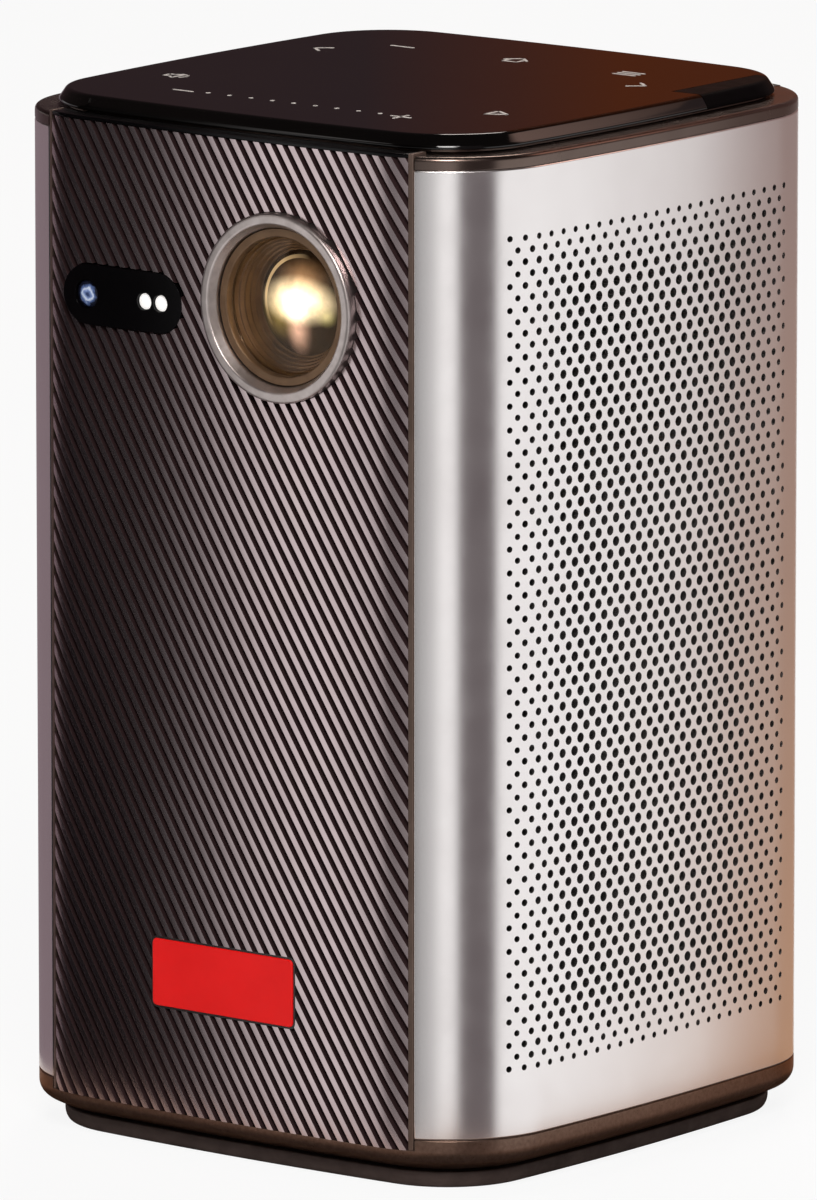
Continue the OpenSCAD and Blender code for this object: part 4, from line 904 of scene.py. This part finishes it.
foot_profile = [
    (FOOT_SOLE_INSET, 0, 0.9), (FOOT_INSET, FOOT_WAIST_Z, 0.8), (FOOT_INSET, FOOT_LIP_Z, 0.3),
    (FOOT_SEAT_INSET, FOOT_LIP_Z, 0.1), (FOOT_SEAT_INSET, FOOT_H), (CORE_INSET, FOOT_H),
    (CORE_INSET, 0, 0.5),
]
dress(outline_sweep("foot_ring", rounded(foot_profile, 6)), RUBBER, "rubber_foot")


# Lens: bezel, retaining ring, glass and the lit element behind it

BEZEL_R, BEZEL_BORE_R = 13, 10.9
BEZEL_FRONT_Y, BEZEL_BACK_Y = -44, -41
TUBE_R, TUBE_BORE_R, TUBE_END_Y = 10.5, 8.5, -12.3
FLANGE_R, FLANGE_Y, TUBE_FRONT_Y = 10.75, -42.06, -42.3
CONE_R, CONE_Y, CONE_BACK_Y = 9.3, -40.3, -35.6
BAFFLE_STEPS, BAFFLE_LIP = 5, 0.18
GLASS_R, GLASS_RIM_Y, GLASS_BULGE, GLASS_T = 9.45, -41.3, 1.4, 0.9
GLASS_SEAT_R = 9.5
LIT_BULGE, LIT_T = 1, 1.4

bezel_profile = [
    (BEZEL_BORE_R, BEZEL_BACK_Y), (BEZEL_BORE_R, -42.7, 0.2), (11.6, BEZEL_FRONT_Y, 0.25),
    (12.7, BEZEL_FRONT_Y, 0.3), (BEZEL_R, -43.7, 0.2), (BEZEL_R, BEZEL_BACK_Y),
]
dress(lathe("bezel_ring", rounded(bezel_profile, 5), (LENS_X, LENS_Z)), BEZEL, "lens_bezel")


def barrel_profile():
    """Focus barrel as (radius, y): a rounded front lip and a cone that steps down to the lit element."""
    lip = [
        (TUBE_R, TUBE_END_Y), (TUBE_R, FLANGE_Y), (FLANGE_R, FLANGE_Y), (FLANGE_R, TUBE_FRONT_Y, 0.1),
        (9.6, TUBE_FRONT_Y, 0.2), (GLASS_SEAT_R, GLASS_RIM_Y - 0.1), (GLASS_SEAT_R, CONE_Y),
    ]
    step_r, step_y = (CONE_R - LIT_R) / BAFFLE_STEPS, (LIT_Y - CONE_Y) / BAFFLE_STEPS
    cone = []
    for i in range(BAFFLE_STEPS):
        r, y = CONE_R - step_r * i, CONE_Y + step_y * i
        cone += [(r, y, 0.06), (r - BAFFLE_LIP, y + step_y, 0.06)]
    back = [
        (LIT_R, LIT_Y), (LIT_R, CONE_BACK_Y), (TUBE_BORE_R, CONE_BACK_Y), (TUBE_BORE_R, TUBE_END_Y)
    ]
    return rounded(lip + cone + back, 3)


def dome(r, rim_y, bulge, steps=20):
    """Points (radius, y) of a dome from its pole, towards -Y, to its rim."""
    ball = (r * r + bulge * bulge) / (2 * bulge)
    a = np.linspace(0, math.asin(r / ball), steps)
    return np.column_stack([ball * np.sin(a), rim_y - bulge + ball * (1 - np.cos(a))])


def dome_profile(r, rim_y, bulge, back_y, steps=20):
    """A lens with its bulging side towards -Y and a flat back."""
    return np.concatenate([dome(r, rim_y, bulge, steps), [[r, back_y], [0, back_y]]])


barrel = lathe("focus_tube", barrel_profile(), (LENS_X, LENS_Z))
dress(barrel, LAMP_TINTED_BARREL, "focus_barrel", "focus_group")
outer_dome = dome(GLASS_R, GLASS_RIM_Y, GLASS_BULGE)
inner_dome = dome(GLASS_R, GLASS_RIM_Y + GLASS_T, GLASS_BULGE)[::-1]
front_lens = lathe("front_glass", np.concatenate([outer_dome, inner_dome]), (LENS_X, LENS_Z))
dress(front_lens, LENS_GLASS, "front_lens", "focus_group")
lit = lathe("lit_element", dome_profile(LIT_R - 0.05, LIT_Y, LIT_BULGE, LIT_Y + LIT_T), (LENS_X, LENS_Z))
dress(lit, GLOW, body="focus_group")


# Sensor window with the camera and the two range sensors

WINDOW_YS = (-42.8, -40.4)
EYE_HOLE = (-45, -39)
EYE_BACK_Y = -36
CAMERA_RIM_Y, CAMERA_BULGE = -42.3, 0.3
SENSOR_RIM_Y, SENSOR_BULGE = -42.45, 0.15

window = prism_y("sensor_pill", window_outline(0), *WINDOW_YS)
eyes = [(CAMERA_X, CAMERA_R)] + [(x, SENSOR_R) for x in SENSOR_XS]
cut(window, [prism_y("hole", circle(x, WINDOW_Z, r + SEAT_GAP, 32), *EYE_HOLE) for x, r in eyes])
soften(window, 0.25, 60, 3)
dress(window, DARK_WINDOW, "sensor_window")
camera_profile = dome_profile(CAMERA_R, CAMERA_RIM_Y, CAMERA_BULGE, EYE_BACK_Y, 10)
camera = lathe("camera_eye", camera_profile, (CAMERA_X, WINDOW_Z))
dress(camera, CAMERA_GLASS, "camera_lens")
sensor_profile = dome_profile(SENSOR_R, SENSOR_RIM_Y, SENSOR_BULGE, EYE_BACK_Y, 8)
sensors = joined("sensor_eyes", [lathe("eye", sensor_profile, (x, WINDOW_Z), count=48) for x in SENSOR_XS])
dress(sensors, GLOWING_WHITE_SPOT, "range_sensors")


# Badge: a blank red plate in a dark seat, which hides the rib ends and is painted shade where the shadow
# line round the plate falls

BADGE_SEAT_Y, BADGE_FACE_Y = -42.85, -43.1

# Black seat: partly a real border over the rib ends, partly painted shade for the shadow line round the
# plate
seat = prism_y("badge_shadow_seat", badge_outline(BADGE_BORDER), BADGE_SEAT_Y, BADGE_BACK_Y)
cut(seat, [prism_y("seat_hole", badge_outline(0), *FRONT_CUT)])
dress(seat, BLACK_PLASTIC)
badge = prism_y("red_plate", badge_outline(0), BADGE_FACE_Y, BADGE_BACK_Y)
soften(badge, 0.18, 60, 3)
dress(badge, BADGE, "badge_plate")


# Rear: panel with vents, power button, sockets and screw heads

REAR_HALF = SHELL_X - SEAT_GAP
REAR_STRIPS = 18
REAR_TOP = 142.45
REAR_CUT = (30, 50)
FAN_Z, VENTS, VENT_PITCH, VENT_LEN, VENT_H = 116, 10, 4, 42, 2
BUTTON_Z, BUTTON_R = 80, 5
BUTTON_FACE_Y, BUTTON_DISH_Y = 44, 43.7
STEM_R, STEM_END_Y = 2, 33.45
KEY_FLANGE_R, KEY_FLANGE_YS = 6.2, (38.3, 39.5)
POWER_MARK_R, POWER_MARK_W, POWER_BAR_LEN, POWER_BAR_UP = 1.6, 0.4, 1.9, 1.5
SOCKET_X, SOCKET_LOW, SOCKET_HIGH = 11, 26, 40
SOCKET_WALL, SOCKET_DEPTH, MOUTH_Y = 0.5, 10, 42
USB_W, USB_H = 12.6, 5.2
POWER_W, POWER_H, POWER_DEPTH = 8.4, 2.6, 6.5
TONGUE_BACK, CONTACT_BACK = 1.5, 1.9
CONTACT_SPREAD, CONTACT_SHARE, CONTACT_T = 0.86, 0.55, 0.1
JACK_R, JACK_BORE_R, JACK_END_Y = 3.2, 1.8, 30
SCREW_R, SCREW_X, SCREW_ZS = 2.2, 28.45, (24, 128.7)
SCREW_SEAT_Y, CROSS_FLOOR_Y = 41, 41.5
CROSS_LEN, CROSS_W = 2.4, 0.55
SCREW_PLACES = [(x, z) for x in (-SCREW_X, SCREW_X) for z in SCREW_ZS]


def hdmi_outline(grow):
    """The mouth of an HDMI socket, with its slanted lower corners."""
    w, top, waist, low, foot = 7 + grow, 2.3 + grow, -0.7 - grow / 2, -2.3 - grow, 5.2 + grow
    right = [(foot, low, 0.4), (w, waist, 0.4), (w, top, 0.3)]
    left = [(-x, z, r) for x, z, r in reversed(right)]
    return rounded(right + left, 3) + [-SOCKET_X, SOCKET_HIGH]


def usb_outline(grow):
    return rectangle(SOCKET_X, SOCKET_HIGH, USB_W + 2 * grow, USB_H + 2 * grow, 0.4 + grow, steps=3)


def power_outline(grow):
    return pill(-SOCKET_X, SOCKET_LOW, POWER_W + 2 * grow, POWER_H + 2 * grow)


def rear_sheet():
    strip = plan_strip(-REAR_HALF, REAR_HALF, 0, PANEL_D, 1, REAR_STRIPS)
    sheet = prism_z("rear_sheet", strip, PANEL_Z0, REAR_TOP)
    vent_zs = [FAN_Z + (i - (VENTS - 1) / 2) * VENT_PITCH for i in range(VENTS)]
    holes = [pill(0, z, VENT_LEN, VENT_H, 12) for z in vent_zs]
    holes += [circle(0, BUTTON_Z, BUTTON_R + SEAT_GAP, 64)]
    holes += [circle(x, z, SCREW_R + SEAT_GAP, 40) for x, z in SCREW_PLACES]
    holes += [outline(SOCKET_WALL + SEAT_GAP) for outline in (hdmi_outline, usb_outline, power_outline)]
    holes += [circle(SOCKET_X, SOCKET_LOW, JACK_R + SEAT_GAP)]
    cut(sheet, [prism_y("hole", hole, *REAR_CUT) for hole in holes])
    return soften(sheet, 0.3, 50, 3)


dress(rear_sheet(), BLACK_PLASTIC, "rear_panel")

stem_profile = [
    (0, STEM_END_Y), (STEM_R, STEM_END_Y), (STEM_R, KEY_FLANGE_YS[0]),
    (KEY_FLANGE_R, KEY_FLANGE_YS[0]), (KEY_FLANGE_R, KEY_FLANGE_YS[1]), (BUTTON_R, KEY_FLANGE_YS[1]),
]
face_profile = [
    (BUTTON_R, BUTTON_FACE_Y, 0.7), (3.9, BUTTON_FACE_Y, 0.3), (3.3, BUTTON_DISH_Y, 0.4), (0, BUTTON_DISH_Y)
]
button = lathe("power_key_cap", rounded(stem_profile + face_profile, 5), (0, BUTTON_Z))
dress(button, BUTTON_GREY, "power_button", "power_key")


def arc_band(centre, r, w, start, stop):
    """A flat curved band as (x, z) points."""
    a = np.radians(np.linspace(start, stop, 40))
    rings = [around(a) * (r + side * w / 2) for side in (1, -1)]
    return np.concatenate([rings[0], rings[1][::-1]]) + centre


power_arc = arc_band((0, BUTTON_Z), POWER_MARK_R, POWER_MARK_W, 125, 415)
power_bar = pill(0, 0, POWER_BAR_LEN, POWER_MARK_W, 8)[:, ::-1] + [0, BUTTON_Z + POWER_BAR_UP]
mark_ys = (BUTTON_DISH_Y - 0.1, BUTTON_DISH_Y + INK_H)
power_mark = [prism_y("stroke", points, *mark_ys) for points in (power_arc, power_bar)]
dress(joined("power_mark", power_mark), INK, body="power_key")


def socket_shell(name, outline, node, depth=SOCKET_DEPTH):
    """A metal socket open to the rear, with rounded lips."""
    shell = prism_y(name, outline(SOCKET_WALL), MOUTH_Y - depth - 1, MOUTH_Y)
    cut(shell, [prism_y("mouth", outline(0), MOUTH_Y - depth, MOUTH_Y + 1)])
    dress(soften(shell, 0.12, 60), CONNECTOR, node)


def socket_tongue(name, centre, w, h, contacts, side):
    """A socket's insulating tongue and the contacts on one of its sides, as two pieces."""
    x, z = centre
    outline = rectangle(x, z, w, h, 0.15, steps=2)
    tongue = prism_y(name + "_tongue", outline, MOUTH_Y - SOCKET_DEPTH, MOUTH_Y - TONGUE_BACK)
    pitch = CONTACT_SPREAD * w / contacts
    strip = rectangle(x, z + side * h / 2, CONTACT_SHARE * pitch, CONTACT_T)
    shifts = [(i - (contacts - 1) / 2) * pitch for i in range(contacts)]
    ends = (MOUTH_Y - SOCKET_DEPTH + 1, MOUTH_Y - CONTACT_BACK)
    strips = [prism_y("strip", strip + [shift, 0], *ends) for shift in shifts]
    dress(tongue, BLACK_PLASTIC)
    dress(joined(name + "_contacts", strips), BRASS)


socket_shell("hdmi_port", hdmi_outline, "hdmi_socket")
socket_shell("usb_port", usb_outline, "usb_socket")
socket_shell("power_port", power_outline, "power_socket", POWER_DEPTH)
socket_tongue("hdmi", (-SOCKET_X, SOCKET_HIGH), 11, 1.2, 10, -1)
socket_tongue("usb", (SOCKET_X, SOCKET_HIGH + 1.3), 11.2, 1.9, 4, -1)
socket_tongue("power", (-SOCKET_X, SOCKET_LOW), 6.6, 0.7, 12, 1)

jack_profile = [
    (JACK_BORE_R, JACK_END_Y), (JACK_R, JACK_END_Y), (JACK_R, MOUTH_Y, 0.3), (2.6, MOUTH_Y, 0.15),
    (2.4, MOUTH_Y - 0.4, 0.1), (JACK_BORE_R, MOUTH_Y - 0.4, 0.3),
]
jack = lathe("audio_port", rounded(jack_profile, 4), (SOCKET_X, SOCKET_LOW), count=64)
dress(jack, BLACK_PLASTIC, "audio_jack")


def screw_head(x, z):
    """A pan head with a cross recess, in front of the plain CAD head."""
    profile = [
        (0, SCREW_SEAT_Y), (SCREW_R, SCREW_SEAT_Y), (SCREW_R, 41.75, 0.3), (1.4, 42.1, 0.6), (0, 42.15)
    ]
    head = lathe("head", rounded(profile, 4), (x, z), count=48)
    sizes = ((CROSS_LEN, CROSS_W), (CROSS_W, CROSS_LEN))
    bars = [rectangle(x, z, w, h, 0.1, steps=2) for w, h in sizes]
    return cut(head, [prism_y("cross", bar, CROSS_FLOOR_Y, 43) for bar in bars])


dress(joined("rear_screw_heads", [screw_head(*place) for place in SCREW_PLACES]), SCREW_BLACK)


# Tripod insert: a brass bush with its thread

THREAD_PITCH, THREAD_R, THREAD_DEPTH = 0.8, 2.6, 0.22
THREAD_Z, THREAD_RINGS = 2.3, 6
BUSH_R, BUSH_TOP = 4.5, 7.1

thread = [
    (THREAD_R - THREAD_DEPTH * (i % 2), THREAD_Z + i * THREAD_PITCH / 2) for i in range(2 * THREAD_RINGS)
]
bush_profile = [
    (THREAD_R + 0.5, FOOT_H, 0.1), (BUSH_R, FOOT_H, 0.25), (BUSH_R, BUSH_TOP), (THREAD_R - 0.3, BUSH_TOP)
]
insert = lathe("tripod_bush", np.concatenate([rounded(bush_profile, 3), thread[::-1]]), (0, 0), "z", 64)
dress(insert, BRASS, "tripod_insert", sharp=50)


# CAD nodes that keep their shape get their finish

FINISHES = {
    BLACK_PLASTIC: "power_switch fan_frame fan_rotor battery_holder right_speaker_frame left_speaker_frame",
    BOARD: "touch_board sensor_board main_board power_board",
    LAMP_TINTED_BARREL: "lens_sleeve",
    OPTIC_GLASS: "rear_lens condenser_lenses dichroic_cube prism",
    STEEL: "focus_motor focus_screw fan_shaft case_screws fan_screws processor_shield",
    CHASSIS: "chassis power_coils",
    CAST: "engine_housing engine_lid mirror_chip",
    LAMP_WHITE: "lamp_boards",
    SINK: "heat_sink",
    COPPER: "heat_pipes fan_stator",
    CELLS: "battery_cells",
    MAGNET: "right_speaker_magnet left_speaker_magnet",
    CONE: "right_speaker_cone left_speaker_cone",
}
for material, names in FINISHES.items():
    for name in names.split():
        paint(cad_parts[name], material)


# Stage: floor, cards that shape the reflections, lamps, world and camera

# The floor's shadow next to the foot, as metal mirrors it: how far it reaches from the middle, and its tones
CONTACT_REACH = (46, 72)
CONTACT_TONES = [(0, (0.03, 0.012, 0.006)), (0.5, (0.5, 0.33, 0.25)), (1, (1, 1, 1))]
FLOOR_TONES = ((0.86, 0.86, 0.86), (0.88, 0.88, 0.88))
# Half the floor's side in metres, and how far it shows its own white where it is looked at
FLOOR_HALF, FLOOR_WHITE = 9, 0.9


def floor_material():
    """Pale floor: white where it is looked at or mirrored, yet with a soft shadow, clear from below."""
    material, tree, bsdf, coords = shader("floor_white")
    tone = drift(tree, coords, 1.5, *FLOOR_TONES)
    fill(tree, bsdf, {"Base Color": tone, "Roughness": 0.9, "Specular IOR Level": 0})
    path = add_node(tree, "LightPath").outputs
    seen = calc(tree, "MAXIMUM", path["Is Camera Ray"], path["Is Glossy Ray"])
    seen = calc(tree, "MAXIMUM", seen, path["Is Transmission Ray"])
    at = split(tree, coords)
    out = calc(tree, "MAXIMUM", *(calc(tree, "ABSOLUTE", at[axis]) for axis in "XY"))
    near = mapped(tree, out, *(reach * MM for reach in CONTACT_REACH), 0, 1)
    contact = ramp(tree, near, CONTACT_TONES)
    shade = vector_math(tree, "MAXIMUM", {0: contact, 1: path["Is Camera Ray"]})
    white = add_node(tree, "Emission", {"Color": shade}).outputs[0]
    above = mix_shaders(tree, calc(tree, "MULTIPLY", seen, FLOOR_WHITE), bsdf.outputs[0], white)
    clear = add_node(tree, "BsdfTransparent").outputs[0]
    below = add_node(tree, "NewGeometry").outputs["Backfacing"]
    show(tree, mix_shaders(tree, below, above, clear))
    return material


def scrim_material():
    """A soft card: its tone and how far it closes are kept at its corners."""
    material, tree, _, _ = shader("scrim")
    tone = add_node(tree, "VertexColor", layer_name="tone")
    glow = add_node(tree, "Emission", {"Color": tone.outputs["Color"]}).outputs[0]
    clear = add_node(tree, "BsdfTransparent").outputs[0]
    show(tree, mix_shaders(tree, tone.outputs["Alpha"], clear, glow))
    return material


def scrim(name, path, low, high=None, top=170, bottom=0.5):
    """A card seen only in reflections, along a path of (x, y, how far it closes).

    A fourth number in a point is how far the card closes at its top, where that differs."""
    count = len(path)
    points = [(x * MM, y * MM, z * MM) for z in (bottom, top) for x, y, *_ in path]
    quads = [(i, i + 1, count + i + 1, count + i) for i in range(count - 1)]
    mesh = bpy.data.meshes.new(name)
    mesh.from_pydata(points, [], quads)
    tone = mesh.color_attributes.new("tone", "FLOAT_COLOR", "POINT")
    for i, (_, _, *closed) in enumerate(path):
        tone.data[i].color = (*low, closed[0])
        tone.data[count + i].color = (*(high or low), closed[-1])
    mesh.materials.append(SCRIM)
    obj = add_object(name, mesh)
    obj.visible_camera = False
    obj.visible_diffuse = False
    obj.visible_shadow = False


def lamp(name, place, aim, size, power, colour):
    """A rectangular lamp that looks at a point, both in metres."""
    light = bpy.data.lights.new(name, "AREA")
    light.shape = "RECTANGLE"
    light.size, light.size_y = size
    light.energy = power
    light.color = colour
    obj = add_object(name, light)
    obj.location = place
    obj.rotation_euler = (Vector(aim) - Vector(place)).to_track_quat("-Z", "Y").to_euler()
    obj.visible_camera = False


# Pale at the horizon and dim overhead, by the height that a ray points at
WORLD_TONES = [
    (0, (1, 1, 1)), (0.09, (0.9, 0.9, 0.9)), (0.14, (0.045, 0.03, 0.03)), (1, (0.04, 0.035, 0.035))
]


def make_world():
    world = bpy.data.worlds.new("studio")
    bpy.context.scene.world = world
    world.use_nodes = True
    tree = world.node_tree
    coords = add_node(tree, "TexCoord")
    height = mapped(tree, split(tree, coords.outputs["Generated"])["Z"], 0, 1, 0, 1)
    fill(tree, tree.nodes["Background"], {"Color": ramp(tree, height, WORLD_TONES)})


# Camera fitted to the body's edges: its direction, the point that it looks at, its distance and its lens
AZIMUTH, ELEVATION = math.radians(38.32), math.radians(10.643)
AIM_Z, AIM_LEFT, CAMERA_AWAY = 72.356, 1.218, 2038.2
FOCAL_LENGTH, SENSOR_W = 441.96, 36


def make_camera():
    level = math.cos(ELEVATION)
    back = Vector((math.sin(AZIMUTH) * level, -math.cos(AZIMUTH) * level, math.sin(ELEVATION)))
    right = Vector((math.cos(AZIMUTH), math.sin(AZIMUTH), 0))
    data = bpy.data.cameras.new("camera")
    data.sensor_width = SENSOR_W
    data.lens = FOCAL_LENGTH
    data.clip_start, data.clip_end = 0.1, 60
    obj = add_object("camera", data)
    obj.location = (Vector((0, 0, AIM_Z)) - right * AIM_LEFT + back * CAMERA_AWAY) * MM
    obj.rotation_mode = "QUATERNION"
    obj.rotation_quaternion = (-back).to_track_quat("-Z", "Y")
    bpy.context.scene.camera = obj


floor_mesh = bpy.data.meshes.new("floor")
floor_corners = [(x * FLOOR_HALF, y * FLOOR_HALF, 0) for x, y in ((-1, -1), (1, -1), (1, 1), (-1, 1))]
floor_mesh.from_pydata(floor_corners, [], [(0, 1, 2, 3)])
floor_mesh.materials.append(floor_material())
add_object("floor", floor_mesh)

SCRIM = scrim_material()
scrim("corner_scrim", [(64.3, -34.5, 0), (63, -38, 1), (55.2, -52, 1), (52.3, -55, 0)], (0.13, 0.11, 0.115))
scrim(
    "warm_scrim",
    [
        (62, -7, 0), (61.5, 5, 0.06), (60.8, 17, 0.18, 0.2), (59.7, 29, 0.3), (58.3, 41, 0.64, 0.66),
        (57, 50, 0.8, 0.85), (51, 55, 0.88, 0.9), (40, 59, 0.9), (28, 60, 0.9),
    ],
    (0.44, 0.22, 0.1),
    (0.18, 0.13, 0.14),
)
scrim(
    "front_scrim",
    [
        (49, -60, 0), (44, -62.7, 0.4), (38.5, -65, 0.55), (33, -66.5, 0.7), (20, -66, 0.8), (13, -64, 0.35),
        (6, -63.5, 0.1), (-7, -63, 0.3, 0.05), (-14, -62.7, 0.65, 0.3), (-22, -62.2, 0.94, 0.7),
        (-32, -61.5, 1, 0.95), (-58, -54, 1), (-61, -51, 1),
    ],
    (0.004, 0.003, 0.004),
)
scrim(
    "left_scrim",
    [(-61, -51, 0.6), (-62, -49.5, 1), (-68, -20, 1), (-68, 20, 0.8), (-60, 60, 0)],
    (0.22, 0.165, 0.185),
    top=144,
)
scrim(
    "rear_scrim",
    [(-85, 95, 0), (-55, 92, 0.5), (-32, 88, 1), (10, 80, 1), (45, 80, 1), (70, 60, 0)],
    (0.145, 0.036, 0.014),
    top=260,
    bottom=138,
)
scrim(
    "left_rear_scrim",
    [(-230, 0, 0), (-210, 40, 1), (-165, 95, 1), (-100, 118, 1), (0, 118, 1)],
    (0.052, 0.032, 0.035),
    top=300,
    bottom=138,
)
scrim(
    "bevel_card",
    [(150, 62, 0), (132, 90, 1), (119, 107, 1), (108, 134, 0.6), (95, 159, 0.3), (75, 180, 0)],
    (1.9, 1.2, 1),
    top=275,
    bottom=190,
)
lamp("key", (0.8, -1, 1.1), (0, 0, 0.08), (0.6, 0.6), 20, (1, 0.97, 0.94))
lamp("fill", (-1.1, -0.9, 0.7), (0, 0, 0.08), (0.8, 0.8), 2, (1, 0.95, 0.93))
lamp("back", (-0.5, 1, 1.2), (0, 0, 0.1), (0.5, 0.5), 8, (1, 0.92, 0.86))
make_world()
make_camera()
bpy.context.scene.view_settings.view_transform = "Standard"
